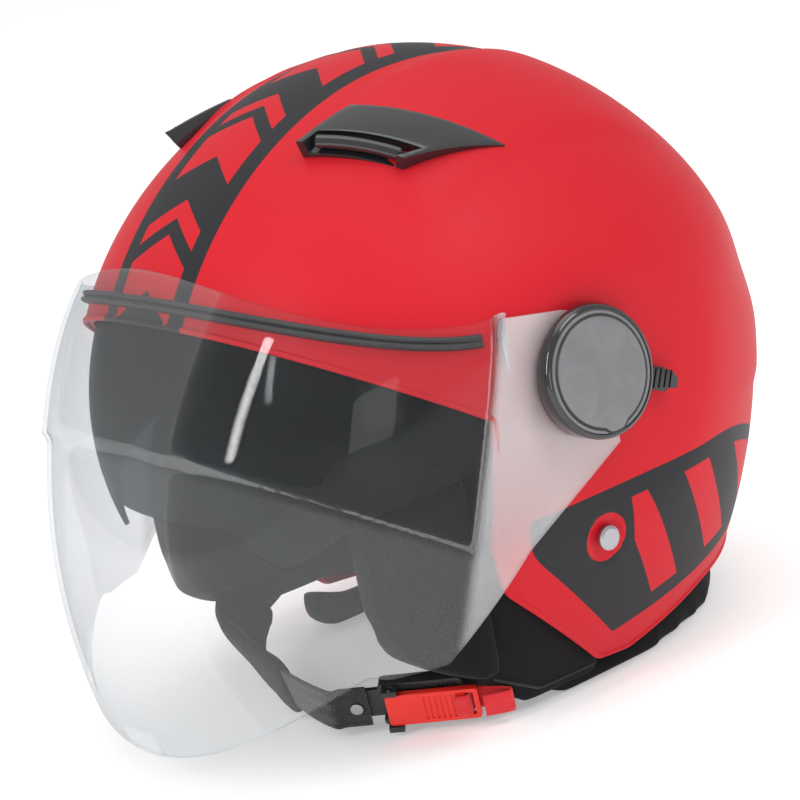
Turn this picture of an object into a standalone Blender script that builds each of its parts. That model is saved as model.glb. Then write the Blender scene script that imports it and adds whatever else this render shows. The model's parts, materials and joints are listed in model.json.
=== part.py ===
"""Open-face motorcycle helmet with a clear shield, a drop-down sun visor and a ratchet chin strap.

The design frame has its origin on the shield's hinge line at the mid-plane: +X is the wearer's left,
-Y the front and +Z up.  An empty carries that frame, and it stands the helmet on z = 0 with the
middle of its length over the origin.  Sizes are in metres.
"""
import math

import bmesh
import bpy
import numpy as np
from mathutils import Matrix, Vector

MM = 0.001
GAP = 0.3 * MM            # between pieces that touch
SIDES = {"left": 1, "right": -1}

# Outer form: a dome whose sections are superellipses, flattened where the shield's ears lie.
DOME_HALF_WIDTH = 125 * MM
DOME_FRONT = 136.5 * MM
DOME_REAR = 137.2 * MM
DOME_TOP = 122.9 * MM
DOME_BOTTOM = 186.5 * MM
DOME_CENTRE_Y = 8.6 * MM
DOME_CENTRE_Z = -5.1 * MM
PLAN_POWER = 2.22
HEIGHT_POWER = 1.84
SIDE_FLAT = DOME_HALF_WIDTH - 7.8 * MM    # half width across the two flats
SIDE_FLAT_SOFTNESS = 1.2 * MM
SHELL_WALL = 3.5 * MM
BASE_DROP = 133 * MM      # hinge line above the surface that the helmet stands on

# Head space inside the foam.
HEAD_HALF_WIDTH = DOME_HALF_WIDTH - 37 * MM
HEAD_FRONT = DOME_FRONT - 37.5 * MM
HEAD_REAR = DOME_REAR - 32.2 * MM
HEAD_TOP = DOME_TOP - 26.9 * MM
HEAD_BOTTOM = 500 * MM
COMFORT_THICKNESS = 8 * MM

# Face opening and rim, seen from the side.
BROW_FRONT_Z = 44 * MM
BROW_FRONT_Y = 23.5 * MM - DOME_FRONT
BROW_SLOPE = -0.706
CHEEK_TOP_Y = -43 * MM
CHEEK_LOW_Y = -49 * MM
CHEEK_LOW_Z = -55 * MM
CHEEK_CORNER = (-45 * MM, -75 * MM)
JAW_CORNER = (0 * MM, -121 * MM)
NAPE_START = (16 * MM, -122.5 * MM)
NAPE_BEND = (60 * MM, -111 * MM)
NAPE_END_Z = -96 * MM
FOAM_INSET = 3 * MM
COMFORT_INSET = 7 * MM

# Shield: a clear bubble with flat ears that turn on the hinge line.
SHIELD_HALF_WIDTH = SIDE_FLAT + 4.3 * MM
SHIELD_WALL = 2 * MM
SHIELD_REACH = DOME_FRONT + 25 * MM
SHIELD_REACH_Z = -66 * MM
SHIELD_BULGE_UP = 3.1
SHIELD_BULGE_DOWN = 2.4
SHIELD_MIDDLE_Y = -37 * MM
SHIELD_TOP_Z = 63.5 * MM
SHIELD_EAR_TOP_Z = 31 * MM
SHIELD_LOW_Z = -118 * MM
SHIELD_LOW_RISE = 48 * MM
SHIELD_TOP_NARROWING = 26.5 * MM
SHIELD_TOP_SETBACK = 17 * MM
EAR_STRIP_Z = -88.5 * MM
EAR_RADIUS = 22 * MM
EAR_HOLE = 13.8 * MM
SHIELD_OPENING = math.radians(58)

# Sun visor: a tinted lens whose profile is an arc about its own pivot.
VISOR_PIVOT_Y = -13 * MM
VISOR_PIVOT_Z = -17 * MM
VISOR_REACH = min(DOME_FRONT - 24.9 * MM, DOME_TOP - 11.3 * MM)
VISOR_HALF_WIDTH = 0.904 * DOME_HALF_WIDTH
VISOR_WALL = 1.8 * MM
VISOR_POWER = 2.3
VISOR_TOP_ANGLE = 34.0
VISOR_LOBE_ANGLE = -18.5
VISOR_NOSE_ANGLE = -8.0
VISOR_SIDE_ANGLE = -11.0
VISOR_EAR_RADIUS = 10 * MM
VISOR_EAR_SWELL = 8 * MM   # how much further the left ear reaches round the peg's slot
VISOR_CLEARANCE = 1.6 * MM
VISOR_PIN_RADIUS = 2.6 * MM
VISOR_TRAVEL = 48.7

# Lever that lowers the sun visor: its peg runs in a slot in the visor's left ear.
LEVER_TRAVEL = 42.0
LEVER_PLATE = 1.6 * MM
LEVER_HUB = 16.6 * MM
LEVER_BORE = 8 * MM
LEVER_TIP = 43 * MM
LEVER_WIDTH = 9 * MM
LEVER_TAB_HEIGHT = 6.5 * MM
LEVER_ANGLE = -24.0
PEG_ORBIT = 12.4 * MM
PEG_RADIUS = 2 * MM
PEG_PLAY = 0.45 * MM

# Hinge stack on each side, measured outwards from the flat.
EAR_FACE = SHIELD_HALF_WIDTH
COVER_BASE_RADIUS = 25.4 * MM
COVER_FACE_RADIUS = 23.3 * MM
COVER_HEIGHT = 7.6 * MM
COVER_TILT = math.radians(7.5)
COVER_WALL = 1.6 * MM
CAP_RADIUS = 20.6 * MM
CAP_LOBE = 2.0 * MM
CAP_POCKET = 1.1 * MM
FLANGE_RADIUS = 17.5 * MM
FLANGE_HEIGHT = 1.4 * MM
SCREW_RADIUS = 1.9 * MM
SCREW_HEAD = 4.4 * MM
SPRING_RADIUS = 9.5 * MM
SPRING_WIRE = 0.55 * MM

# Brow gasket: a rubber strip above the face opening.
GASKET_WIDTH = 5 * MM
GASKET_DEPTH = 4 * MM
GASKET_END_DEPTH = 1.6 * MM
GASKET_END_Y = -42 * MM
GASKET_END_Z = 23.5 * MM
GASKET_RISE = 28 * MM
GASKET_RUN = 75 * MM

# Top vents: corners in plan, then heights over the shell.
VENT_INNER_REAR = (41 * MM, -26 * MM)
VENT_INNER_FRONT = (43 * MM, -53 * MM)
VENT_OUTER_FRONT = (75 * MM, -32 * MM)
VENT_TIP = (84 * MM, 9 * MM)
VENT_FRONT_HEIGHT = 9 * MM
VENT_REAR_HEIGHT = 2.4 * MM
VENT_SLOT_HEIGHT = 6.2 * MM
VENT_MARGIN = 0.12        # side walls of the mouth, as a share of the width
VENT_MOUTH = 0.32         # depth of the mouth, as a share of the length
SHUTTER_LIFT = 3.7 * MM
SHUTTER_RADIUS = 1.6 * MM
SHUTTER_STRETCH = 1.4
SHUTTER_TRAVEL = 30.0

# Chin strap.
RIVET_Y = -2 * MM
RIVET_Z = -67 * MM
RIVET_RADIUS = 4.8 * MM
RIVET_RECESS = 8 * MM
RIVET_SHANK = 2.4 * MM
RIVET_SEAT = 0.9248 * DOME_HALF_WIDTH
ANCHOR_X = RIVET_SEAT - 7.8 * MM   # half width between the straps at their rivets
STRAP_WIDTH = 19 * MM
STRAP_THICKNESS = 1.8 * MM
STRAP_LAP = 9 * MM
STRAP_SLOT_PLAY = 1.7 * MM
SLEEVE_WIDTH = 28 * MM
SLEEVE_THICKNESS = 6.5 * MM
SLEEVE_START = 11        # steps along the right strap
SLEEVE_END = 24
BUCKLE_CENTRE = Vector((ANCHOR_X - 47.8 * MM, -62 * MM, -119.5 * MM))
BUCKLE_ALONG = Vector((-0.70, -0.71, 0.04)).normalized()
BUCKLE_LENGTH = 33 * MM
BUCKLE_WIDTH = 20 * MM
BUCKLE_DEPTH = 6 * MM
BUCKLE_LEVER_TRAVEL = 35.0
LEVER_LIFT = 1.5 * MM      # the release lever's clearance over the body
TONGUE_WIDTH = 13 * MM
TONGUE_DEPTH = 2.2 * MM
TONGUE_REACH = 14 * MM

# Padding.
ROLL_HALF_WIDTH = HEAD_HALF_WIDTH
ROLL_REAR = HEAD_REAR + 3 * MM
ROLL_FRONT = HEAD_FRONT + 9 * MM
ROLL_CENTRE_Y = 6 * MM
ROLL_THICKNESS = 18 * MM
ROLL_END_Y = -21 * MM
PAD_INNER_X = HEAD_HALF_WIDTH - 31 * MM
PAD_OUTER_X = HEAD_HALF_WIDTH + 8 * MM
HOOK_OUTER_X = HEAD_HALF_WIDTH + 14 * MM
PAD_GAP = 0.8 * MM

RED = (0.62, 0.02, 0.035, 1)
BLACK = (0.02, 0.02, 0.022, 1)
GREY = (0.16, 0.16, 0.17, 1)


# ---------------------------------------------------------------- scene and materials

def clear_scene():
    for item in list(bpy.data.objects):
        bpy.data.objects.remove(item, do_unlink=True)


def material(name, colour, roughness, metallic=0.0, alpha=1.0):
    found = bpy.data.materials.get(name)
    if found:
        return found
    made = bpy.data.materials.new(name)
    made.use_nodes = True
    shader = made.node_tree.nodes["Principled BSDF"]
    shader.inputs["Base Color"].default_value = colour
    shader.inputs["Roughness"].default_value = roughness
    shader.inputs["Metallic"].default_value = metallic
    shader.inputs["Alpha"].default_value = alpha
    return made


def add_frame():
    """The empty on the hinge line that carries every piece."""
    frame = bpy.data.objects.new("helmet_frame", None)
    rear = DOME_CENTRE_Y + DOME_REAR
    frame.location = (0, (SHIELD_REACH - rear) / 2, BASE_DROP)
    bpy.context.scene.collection.objects.link(frame)
    return frame


def add_object(name, mesh, finish, pivot=(0, 0, 0)):
    """Link a mesh that is given in the design frame, with its origin moved to the pivot."""
    item = bpy.data.objects.new(name, mesh)
    mesh.transform(Matrix.Translation(-Vector(pivot)))
    item.location = pivot
    item.parent = FRAME
    if finish:
        mesh.materials.append(finish)
    bpy.context.scene.collection.objects.link(item)
    mesh.shade_smooth()
    mesh.set_sharp_from_angle(angle=math.radians(35))
    return item


def add_cutter(name, mesh):
    cutter = add_object(name, mesh, None)
    cutter.hide_render = True
    cutter.display_type = "WIRE"
    return cutter


def combine(target, other, operation):
    """Boolean the evaluated other object into the target."""
    step = target.modifiers.new(operation.lower() + "_" + other.name, "BOOLEAN")
    step.operation = operation
    step.solver = "EXACT"
    step.object = other


# ---------------------------------------------------------------- mesh builders

def mesh_from(name, points, faces):
    mesh = bpy.data.meshes.new(name)
    mesh.from_pydata([tuple(p) for p in points], [], faces)
    work = bmesh.new()
    work.from_mesh(mesh)
    bmesh.ops.recalc_face_normals(work, faces=work.faces)
    work.to_mesh(mesh)
    work.free()
    return mesh


def sheet(name, outer, inner):
    """A closed sheet between two grids of points of the same shape."""
    outer = np.asarray(outer)
    inner = np.asarray(inner)
    rows, columns = outer.shape[:2]
    points = list(outer.reshape(-1, 3)) + list(inner.reshape(-1, 3))
    shift = rows * columns

    def at(row, column, side):
        return side * shift + row * columns + column

    faces = []
    for row in range(rows - 1):
        for column in range(columns - 1):
            corners = [(row, column), (row, column + 1), (row + 1, column + 1), (row + 1, column)]
            faces.append([at(r, c, 0) for r, c in corners])
            faces.append([at(r, c, 1) for r, c in reversed(corners)])
    border = [(0, c) for c in range(columns)]
    border += [(r, columns - 1) for r in range(1, rows)]
    border += [(rows - 1, c) for c in range(columns - 2, -1, -1)]
    border += [(r, 0) for r in range(rows - 2, 0, -1)]
    for here, there in zip(border, border[1:] + border[:1]):
        faces.append([at(*here, 0), at(*here, 1), at(*there, 1), at(*there, 0)])
    return mesh_from(name, points, faces)


def tube(name, sections, closed=False):
    """A solid through a list of loops, capped at both ends unless it closes on itself."""
    count = len(sections[0])
    points = [p for section in sections for p in section]
    faces = []
    spans = len(sections) if closed else len(sections) - 1
    for row in range(spans):
        after = (row + 1) % len(sections)
        for k in range(count):
            ahead = (k + 1) % count
            faces.append([row * count + k, row * count + ahead, after * count + ahead, after * count + k])
    if not closed:
        faces.append(list(range(count)))
        faces.append([(len(sections) - 1) * count + k for k in range(count)])
    return mesh_from(name, points, faces)


def turned(name, rings, place, segments=32):
    """A solid through rings about an axis; each ring is (radius, height), either may be a function.

    The first and last rings close to a point.  place(radius, angle, height) gives the position.
    """
    angles = [2 * math.pi * k / segments for k in range(segments)]

    def value(item, angle):
        return item(angle) if callable(item) else item

    points = [place(0, 0, value(rings[0][1], 0))]
    for radius, height in rings:
        points += [place(value(radius, a), a, value(height, a)) for a in angles]
    points.append(place(0, 0, value(rings[-1][1], 0)))
    faces = []
    for row in range(len(rings) - 1):
        for k in range(segments):
            ahead = (k + 1) % segments
            low = 1 + row * segments
            high = low + segments
            faces.append([low + k, low + ahead, high + ahead, high + k])
    top = 1 + (len(rings) - 1) * segments
    for k in range(segments):
        ahead = (k + 1) % segments
        faces.append([0, 1 + ahead, 1 + k])
        faces.append([len(points) - 1, top + k, top + ahead])
    return mesh_from(name, points, faces)


def prism(name, outline, place, low, high):
    """Extrude a plane outline; place(u, v, height) gives the position."""
    loops = [[place(u, v, height) for u, v in outline] for height in (low, high)]
    return tube(name, loops)


def side_prism(name, outline, low, high):
    """An outline in (y, z), extruded along X."""
    return prism(name, outline, lambda u, v, h: (h, u, v), low, high)


def plan_prism(name, outline, low, high):
    """An outline in (x, y), extruded along Z."""
    return prism(name, outline, lambda u, v, h: (u, v, h), low, high)


def across(side):
    """Positions for a solid turned about an axis along X, on one side of the helmet."""
    def place(radius, angle, height):
        return (side * height, radius * math.cos(angle), radius * math.sin(angle))
    return place


def rounded(corners, steps=5):
    """A closed outline with an arc at each corner; each corner is (u, v, radius)."""
    outline = []
    count = len(corners)
    for k, (u, v, radius) in enumerate(corners):
        here = Vector((u, v))
        before = (Vector(corners[k - 1][:2]) - here).normalized()
        after = (Vector(corners[(k + 1) % count][:2]) - here).normalized()
        if radius <= 0:
            outline.append((here.x, here.y))
            continue
        half = before.angle(after) / 2
        centre = here + (before + after).normalized() * radius / math.sin(half)
        start = here + before * radius / math.tan(half) - centre
        end = here + after * radius / math.tan(half) - centre
        turn = start.angle_signed(end)
        for step in range(steps + 1):
            point = centre + Matrix.Rotation(-turn * step / steps, 2) @ start
            outline.append((point.x, point.y))
    return outline


# ---------------------------------------------------------------- forms of the dome

def dome(half_width, front, rear, top, bottom):
    """The radial form: a function that gives 1 on the dome's surface for offsets from its centre."""
    def value(offset):
        x, y, z = offset
        depth = rear if y > 0 else front
        height = top if z > 0 else bottom
        plan = (abs(x) / half_width) ** PLAN_POWER + (abs(y) / depth) ** PLAN_POWER
        return (plan ** (HEIGHT_POWER / PLAN_POWER) + (abs(z) / height) ** HEIGHT_POWER) ** (1 / HEIGHT_POWER)
    return value


SHELL_FORM = dome(DOME_HALF_WIDTH, DOME_FRONT, DOME_REAR, DOME_TOP, DOME_BOTTOM)
HEAD_FORM = dome(HEAD_HALF_WIDTH, HEAD_FRONT, HEAD_REAR, HEAD_TOP, HEAD_BOTTOM)
DOME_CENTRE = Vector((0, DOME_CENTRE_Y, DOME_CENTRE_Z))


def form_normal(form, offset):
    step = 0.01 * MM
    slope = []
    for axis in range(3):
        ahead = Vector(offset)
        behind = Vector(offset)
        ahead[axis] += step
        behind[axis] -= step
        slope.append(form(ahead) - form(behind))
    return Vector(slope).normalized()


def limited(x, limit):
    """A width held under the limit with a soft corner."""
    soft = SIDE_FLAT_SOFTNESS
    size = abs(x)
    if size < limit - 20 * soft:
        return x
    return math.copysign(limit - soft * math.log(1 + math.exp((limit - size) / soft)), x)


def dome_point(form, direction, inset, limit):
    """The point of an inset dome in a direction from the dome's centre."""
    direction = Vector(direction).normalized()
    offset = direction / form(direction)
    point = offset - form_normal(form, offset) * inset + DOME_CENTRE
    if limit:
        point.x = limited(point.x, limit - inset)
    return point


def dome_mesh(name, form, inset, limit=None, rings=18, spokes=40):
    """A closed dome with its poles on the sides, so that its rings run fore and aft."""
    points = [dome_point(form, (1, 0, 0), inset, limit)]
    for ring in range(1, rings):
        lean = math.pi * ring / rings
        for spoke in range(spokes):
            turn = 2 * math.pi * spoke / spokes
            direction = (math.cos(lean), math.sin(lean) * math.cos(turn), math.sin(lean) * math.sin(turn))
            points.append(dome_point(form, direction, inset, limit))
    points.append(dome_point(form, (-1, 0, 0), inset, limit))
    faces = []
    for ring in range(rings - 2):
        for spoke in range(spokes):
            ahead = (spoke + 1) % spokes
            low = 1 + ring * spokes
            faces.append([low + spoke, low + ahead, low + spokes + ahead])
            faces.append([low + spoke, low + spokes + ahead, low + spokes + spoke])
    last = len(points) - 1
    for spoke in range(spokes):
        ahead = (spoke + 1) % spokes
        faces.append([0, 1 + spoke, 1 + ahead])
        faces.append([last, last - spokes + ahead, last - spokes + spoke])
    return mesh_from(name, points, faces)


def shell_surface(x, y):
    """The height of the shell's upper surface over a place in plan, and its normal."""
    low = 0.0
    high = DOME_TOP
    for _ in range(40):
        middle = (low + high) / 2
        if SHELL_FORM((x, y - DOME_CENTRE_Y, middle)) < 1:
            low = middle
        else:
            high = middle
    offset = Vector((x, y - DOME_CENTRE_Y, low))
    return DOME_CENTRE + offset, form_normal(SHELL_FORM, offset)


def opening_outline(inset):
    """The side view of what is kept of the dome, moved inwards by the inset."""
    far = 220 * MM
    brow_far = BROW_FRONT_Z + BROW_SLOPE * (-far - BROW_FRONT_Y)
    brow_lean = math.hypot(1, BROW_SLOPE)
    brow_end_z = BROW_FRONT_Z + BROW_SLOPE * (CHEEK_TOP_Y - BROW_FRONT_Y)
    rise = inset * brow_lean
    jaw_lift = 1.4 * inset
    return rounded([
        (-far, brow_far + rise, 0),
        (CHEEK_TOP_Y + inset, brow_end_z + rise + BROW_SLOPE * inset, 3 * MM),
        (CHEEK_LOW_Y + inset, CHEEK_LOW_Z, 14 * MM),
        (CHEEK_CORNER[0] + inset, CHEEK_CORNER[1] + inset * 0.4, 12 * MM),
        (JAW_CORNER[0] + inset * 0.3, JAW_CORNER[1] + jaw_lift, 6 * MM),
        (NAPE_START[0], NAPE_START[1] + inset, 6 * MM),
        (NAPE_BEND[0], NAPE_BEND[1] + inset, 60 * MM),
        (far, NAPE_END_Z + inset, 0),
        (far, far, 0),
        (-far, far, 0),
    ])


# ---------------------------------------------------------------- shell and foam

def visor_angle_to_hinge():
    """The direction from the hinge line to the sun visor's pivot, in the (y, z) plane."""
    return math.atan2(VISOR_PIVOT_Z, VISOR_PIVOT_Y)


def peg_angle():
    """Where the lever's peg is at rest, about the hinge line."""
    return visor_angle_to_hinge() - math.radians(LEVER_TRAVEL / 2)


def arc_slot(name, low, high):
    """A cutter for the arc that the lever's peg sweeps."""
    margin = (PEG_RADIUS + PEG_PLAY) / PEG_ORBIT
    start = peg_angle() - margin
    end = peg_angle() + math.radians(LEVER_TRAVEL) + margin
    inner = PEG_ORBIT - PEG_RADIUS - PEG_PLAY
    outer = PEG_ORBIT + PEG_RADIUS + PEG_PLAY
    steps = 8
    turns = [start + (end - start) * k / steps for k in range(steps + 1)]
    outline = [(inner * math.cos(a), inner * math.sin(a)) for a in turns]
    outline += [(outer * math.cos(a), outer * math.sin(a)) for a in reversed(turns)]
    return add_cutter(name, side_prism(name, outline, low, high))


def side_bore(name, y, z, radius, low, high, side=1, segments=16):
    """A cutter for a round hole along X on one side."""
    turns = [2 * math.pi * k / segments for k in range(segments)]
    outline = [(y + radius * math.cos(a), z + radius * math.sin(a)) for a in turns]
    ends = sorted((side * low, side * high))
    return add_cutter(name, side_prism(name, outline, *ends))


def vent_point(side, u, v, height):
    """A point over the shell; u runs outwards and v rearwards across the vent's four corners."""
    front = Vector(VENT_INNER_FRONT).lerp(Vector(VENT_OUTER_FRONT), u)
    rear = Vector(VENT_INNER_REAR).lerp(Vector(VENT_TIP), u)
    plan = front.lerp(rear, v)
    point, normal = shell_surface(plan.x, plan.y)
    point = point + normal * height
    return Vector((side * point.x, point.y, point.z))


def vent_block(name, side, across_range, along_range, low, high, steps=6):
    """A block over part of the vent's footprint; low and high give heights from v."""
    grids = []
    for height in (low, high):
        grid = []
        for row in range(steps + 1):
            u = across_range[0] + (across_range[1] - across_range[0]) * row / steps
            spots = [along_range[0] + (along_range[1] - along_range[0]) * k / steps for k in range(steps + 1)]
            grid.append([vent_point(side, u, v, height(v)) for v in spots])
        grids.append(grid)
    return sheet(name, grids[1], grids[0])


def vent_height(v):
    """The crown of the vent, high in front and thin behind."""
    share = min(max(v, 0), 1)
    return VENT_FRONT_HEIGHT + (VENT_REAR_HEIGHT - VENT_FRONT_HEIGHT) * share ** 0.8


def build_shell():
    outer = add_object("outer_shell", dome_mesh("outer_shell", SHELL_FORM, 0, SIDE_FLAT),
                       material("shell_red", RED, 0.45))
    inner = add_cutter("shell_hollow", dome_mesh("shell_hollow", SHELL_FORM, SHELL_WALL, SIDE_FLAT))
    wide = 200 * MM
    keep = add_cutter("shell_outline", side_prism("shell_outline", opening_outline(0), -wide, wide))
    combine(outer, inner, "DIFFERENCE")
    combine(outer, keep, "INTERSECT")
    low = SIDE_FLAT - 2 * SHELL_WALL
    high = SIDE_FLAT + SHELL_WALL
    combine(outer, arc_slot("shell_peg_slot", low, high), "DIFFERENCE")
    for label, side in SIDES.items():
        hinge = side_bore("shell_screw_hole_" + label, 0, 0, SCREW_RADIUS + GAP, low, high, side)
        pin = side_bore("shell_visor_hole_" + label, VISOR_PIVOT_Y, VISOR_PIVOT_Z,
                        VISOR_PIN_RADIUS + GAP, low, high, side)
        rivet = side_bore("shell_rivet_hole_" + label, RIVET_Y, RIVET_Z, RIVET_SHANK + GAP, low - 8 * MM,
                          high, side)
        for cutter in (hinge, pin, rivet, vent_intake(label, side)):
            combine(outer, cutter, "DIFFERENCE")
    return outer


def vent_intake(label, side):
    """The slot through the shell and the foam under a vent."""
    return add_cutter("vent_intake_" + label,
                      vent_block("vent_intake_" + label, side, (0.3, 0.7), (0.16, 0.3), lambda v: -32 * MM,
                                 lambda v: 3 * MM, 3))


def visor_section(half_width, reach, x):
    """The radius from the visor's pivot line at a place across the helmet."""
    share = min(abs(x) / half_width, 1)
    return reach * (1 - share ** VISOR_POWER) ** (1 / VISOR_POWER)


def visor_core(name, inset):
    """The round body inside the visor's sweep."""
    half_width = VISOR_HALF_WIDTH - inset
    reach = VISOR_REACH - inset
    rings = []
    steps = 20
    for step in range(1, steps):
        x = -half_width * math.cos(math.pi * step / steps)
        rings.append((visor_section(half_width, reach, x), x))
    tip = visor_section(half_width, reach, 0.9995 * half_width)
    rings = [(tip, -half_width)] + rings + [(tip, half_width)]

    def place(radius, angle, height):
        return (height, VISOR_PIVOT_Y + radius * math.cos(angle), VISOR_PIVOT_Z + radius * math.sin(angle))
    return add_cutter(name, turned(name, rings, place, segments=40))


def visor_channel():
    """A cutter for the space that the sun visor sweeps between the shell and the foam."""
    far = 230 * MM
    start = math.radians(180 - VISOR_LOBE_ANGLE + 8)
    end = math.radians(180 - VISOR_TOP_ANGLE - VISOR_TRAVEL - 4)
    back = VISOR_EAR_RADIUS + 2 * VISOR_CLEARANCE
    rear = VISOR_EAR_RADIUS + VISOR_EAR_SWELL + VISOR_CLEARANCE
    outline = [(VISOR_PIVOT_Y + rear, VISOR_PIVOT_Z - rear)]
    outline.append((VISOR_PIVOT_Y - back, VISOR_PIVOT_Z - rear))
    outline.append((VISOR_PIVOT_Y + far * math.cos(start), VISOR_PIVOT_Z + far * math.sin(start) - back))
    outline.append((-far, far))
    outline.append((VISOR_PIVOT_Y + far * math.cos(end) + back, VISOR_PIVOT_Z + far * math.sin(end)))
    outline.append((VISOR_PIVOT_Y + rear, VISOR_PIVOT_Z))
    wide = 200 * MM
    channel = add_cutter("visor_channel", side_prism("visor_channel", outline, -wide, wide))
    combine(channel, visor_core("visor_channel_core", VISOR_WALL + VISOR_CLEARANCE), "DIFFERENCE")
    return channel


def build_foam(strap_slots):
    foam = add_object("eps_liner", dome_mesh("eps_liner", SHELL_FORM, SHELL_WALL + GAP, SIDE_FLAT),
                      material("foam_black", (0.03, 0.03, 0.03, 1), 0.9))
    wide = 200 * MM
    keep = add_cutter("foam_outline", side_prism("foam_outline", opening_outline(FOAM_INSET), -wide, wide))
    combine(foam, keep, "INTERSECT")
    combine(foam, add_cutter("head_space", dome_mesh("head_space", HEAD_FORM, 0)), "DIFFERENCE")
    combine(foam, visor_channel(), "DIFFERENCE")
    for label, side in SIDES.items():
        combine(foam, bpy.data.objects["vent_intake_" + label], "DIFFERENCE")
        combine(foam, strap_slots[label], "DIFFERENCE")
        pocket = side_bore("anchor_pocket_" + label, RIVET_Y, RIVET_Z, RIVET_RECESS + 4 * MM,
                           SIDE_FLAT - 14 * MM, SIDE_FLAT, side)
        combine(foam, pocket, "DIFFERENCE")
        screw = side_bore("foam_screw_hole_" + label, 0, 0, SCREW_HEAD, SIDE_FLAT - 14 * MM, SIDE_FLAT, side)
        combine(foam, screw, "DIFFERENCE")


def build_comfort_liner():
    cloth = material("lining_black", BLACK, 0.95)
    liner = add_object("crown_pad", dome_mesh("crown_pad", HEAD_FORM, PAD_GAP), cloth)
    hollow = dome_mesh("crown_hollow", HEAD_FORM, PAD_GAP + COMFORT_THICKNESS)
    combine(liner, add_cutter("crown_hollow", hollow), "DIFFERENCE")
    far = 220 * MM
    brow_far = BROW_FRONT_Z + BROW_SLOPE * (-far - BROW_FRONT_Y) + COMFORT_INSET * math.hypot(1, BROW_SLOPE)
    brow_end = BROW_FRONT_Z + BROW_SLOPE * (CHEEK_TOP_Y - BROW_FRONT_Y) + 2 * COMFORT_INSET
    outline = rounded([
        (-far, brow_far, 0),
        (CHEEK_TOP_Y, brow_end, 10 * MM),
        (20 * MM, -12 * MM, 14 * MM),
        (48 * MM, -72 * MM, 14 * MM),
        (far, -92 * MM, 0),
        (far, far, 0),
        (-far, far, 0),
    ])
    wide = 200 * MM
    combine(liner, add_cutter("crown_outline", side_prism("crown_outline", outline, -wide, wide)), "INTERSECT")


def build_cheek_pads(strap_slots):
    cloth = material("lining_black", BLACK, 0.95)
    profile = rounded([
        (-64 * MM, -24 * MM, 10 * MM),
        (-84 * MM, -44 * MM, 12 * MM),
        (-86 * MM, -72 * MM, 14 * MM),
        (-78 * MM, -96 * MM, 14 * MM),
        (-60 * MM, -107 * MM, 12 * MM),
        (22 * MM, -107 * MM, 10 * MM),
        (36 * MM, -62 * MM, 14 * MM),
        (14 * MM, -24 * MM, 14 * MM),
    ])
    hook_rear = CHEEK_LOW_Y - 1.2 * MM
    hook = rounded([
        (PAD_INNER_X + 1 * MM, hook_rear + 12 * MM, 0),
        (PAD_INNER_X + 2 * MM, -78 * MM, 4 * MM),
        (PAD_INNER_X + 8 * MM, -87 * MM, 5 * MM),
        (PAD_INNER_X + 20 * MM, -87 * MM, 5 * MM),
        (HOOK_OUTER_X, hook_rear - 9 * MM, 5 * MM),
        (HOOK_OUTER_X, hook_rear, 0),
        (PAD_INNER_X + 15 * MM, hook_rear, 0),
        (PAD_INNER_X + 15 * MM, hook_rear + 12 * MM, 0),
    ])
    for label, side in SIDES.items():
        low, high = sorted((side * PAD_INNER_X, side * PAD_OUTER_X))
        pad = add_object("cheek_pad_" + label, side_prism("cheek_pad_" + label, profile, low, high), cloth)
        fit = add_cutter("cheek_fit_" + label, dome_mesh("cheek_fit_" + label, HEAD_FORM, PAD_GAP))
        combine(pad, fit, "INTERSECT")
        edge = [(side * x, y) for x, y in hook]
        front = add_cutter("cheek_hook_" + label, plan_prism("cheek_hook_" + label, edge, -140 * MM, 0))
        low, high = sorted((side * (PAD_INNER_X - 7 * MM), side * (HOOK_OUTER_X + 8 * MM)))
        trim = add_cutter("cheek_trim_" + label, side_prism("cheek_trim_" + label, profile, low, high))
        combine(front, trim, "INTERSECT")
        combine(pad, front, "UNION")
        combine(pad, strap_slots[label], "DIFFERENCE")


def build_neck_roll():
    steps = 28
    power = 2 / PLAN_POWER

    def edge(shrink):
        half = []
        for step in range(steps + 1):
            turn = -0.3 * math.pi + 1.6 * math.pi * step / steps
            depth = ROLL_REAR if math.sin(turn) > 0 else ROLL_FRONT
            x = (ROLL_HALF_WIDTH - shrink) * math.copysign(abs(math.cos(turn)) ** power, math.cos(turn))
            y = (depth - shrink) * math.copysign(abs(math.sin(turn)) ** power, math.sin(turn))
            half.append((x, y + ROLL_CENTRE_Y))
        return half
    plan = edge(0) + list(reversed(edge(ROLL_THICKNESS)))
    roll = add_object("neck_roll", plan_prism("neck_roll", plan, -BASE_DROP, -90 * MM),
                      material("lining_black", BLACK, 0.95))
    far = 160 * MM
    drop = 1.2 * MM
    profile = rounded([
        (ROLL_END_Y, -BASE_DROP, 5 * MM),
        (far, -BASE_DROP, 0),
        (far, NAPE_END_Z - 6 * MM, 0),
        (NAPE_BEND[0], NAPE_BEND[1] - drop, 40 * MM),
        (NAPE_START[0], NAPE_START[1] - drop, 6 * MM),
        (JAW_CORNER[0] - 2 * MM, JAW_CORNER[1] - 2.4 * MM, 4 * MM),
        (ROLL_END_Y, -114 * MM, 4 * MM),
    ])
    wide = 200 * MM
    combine(roll, add_cutter("roll_outline", side_prism("roll_outline", profile, -wide, wide)), "INTERSECT")


# ---------------------------------------------------------------- face shield

def shield_reach(z):
    """How far the bubble reaches forward at a height."""
    bulge = SHIELD_BULGE_UP if z > SHIELD_REACH_Z else SHIELD_BULGE_DOWN
    return SHIELD_REACH - bulge * (z - SHIELD_REACH_Z) ** 2


def shield_point(turn, z, inset):
    """A point of the bubble: turn is 0 at the front and 90 degrees where the ears begin."""
    share = max(z / SHIELD_TOP_Z, 0)
    half_width = SHIELD_HALF_WIDTH - SHIELD_TOP_NARROWING * share ** 3 - inset
    middle = SHIELD_MIDDLE_Y + SHIELD_TOP_SETBACK * share
    depth = shield_reach(z) + middle - inset
    return (half_width * math.sin(turn), middle - depth * math.cos(turn), z)


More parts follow.
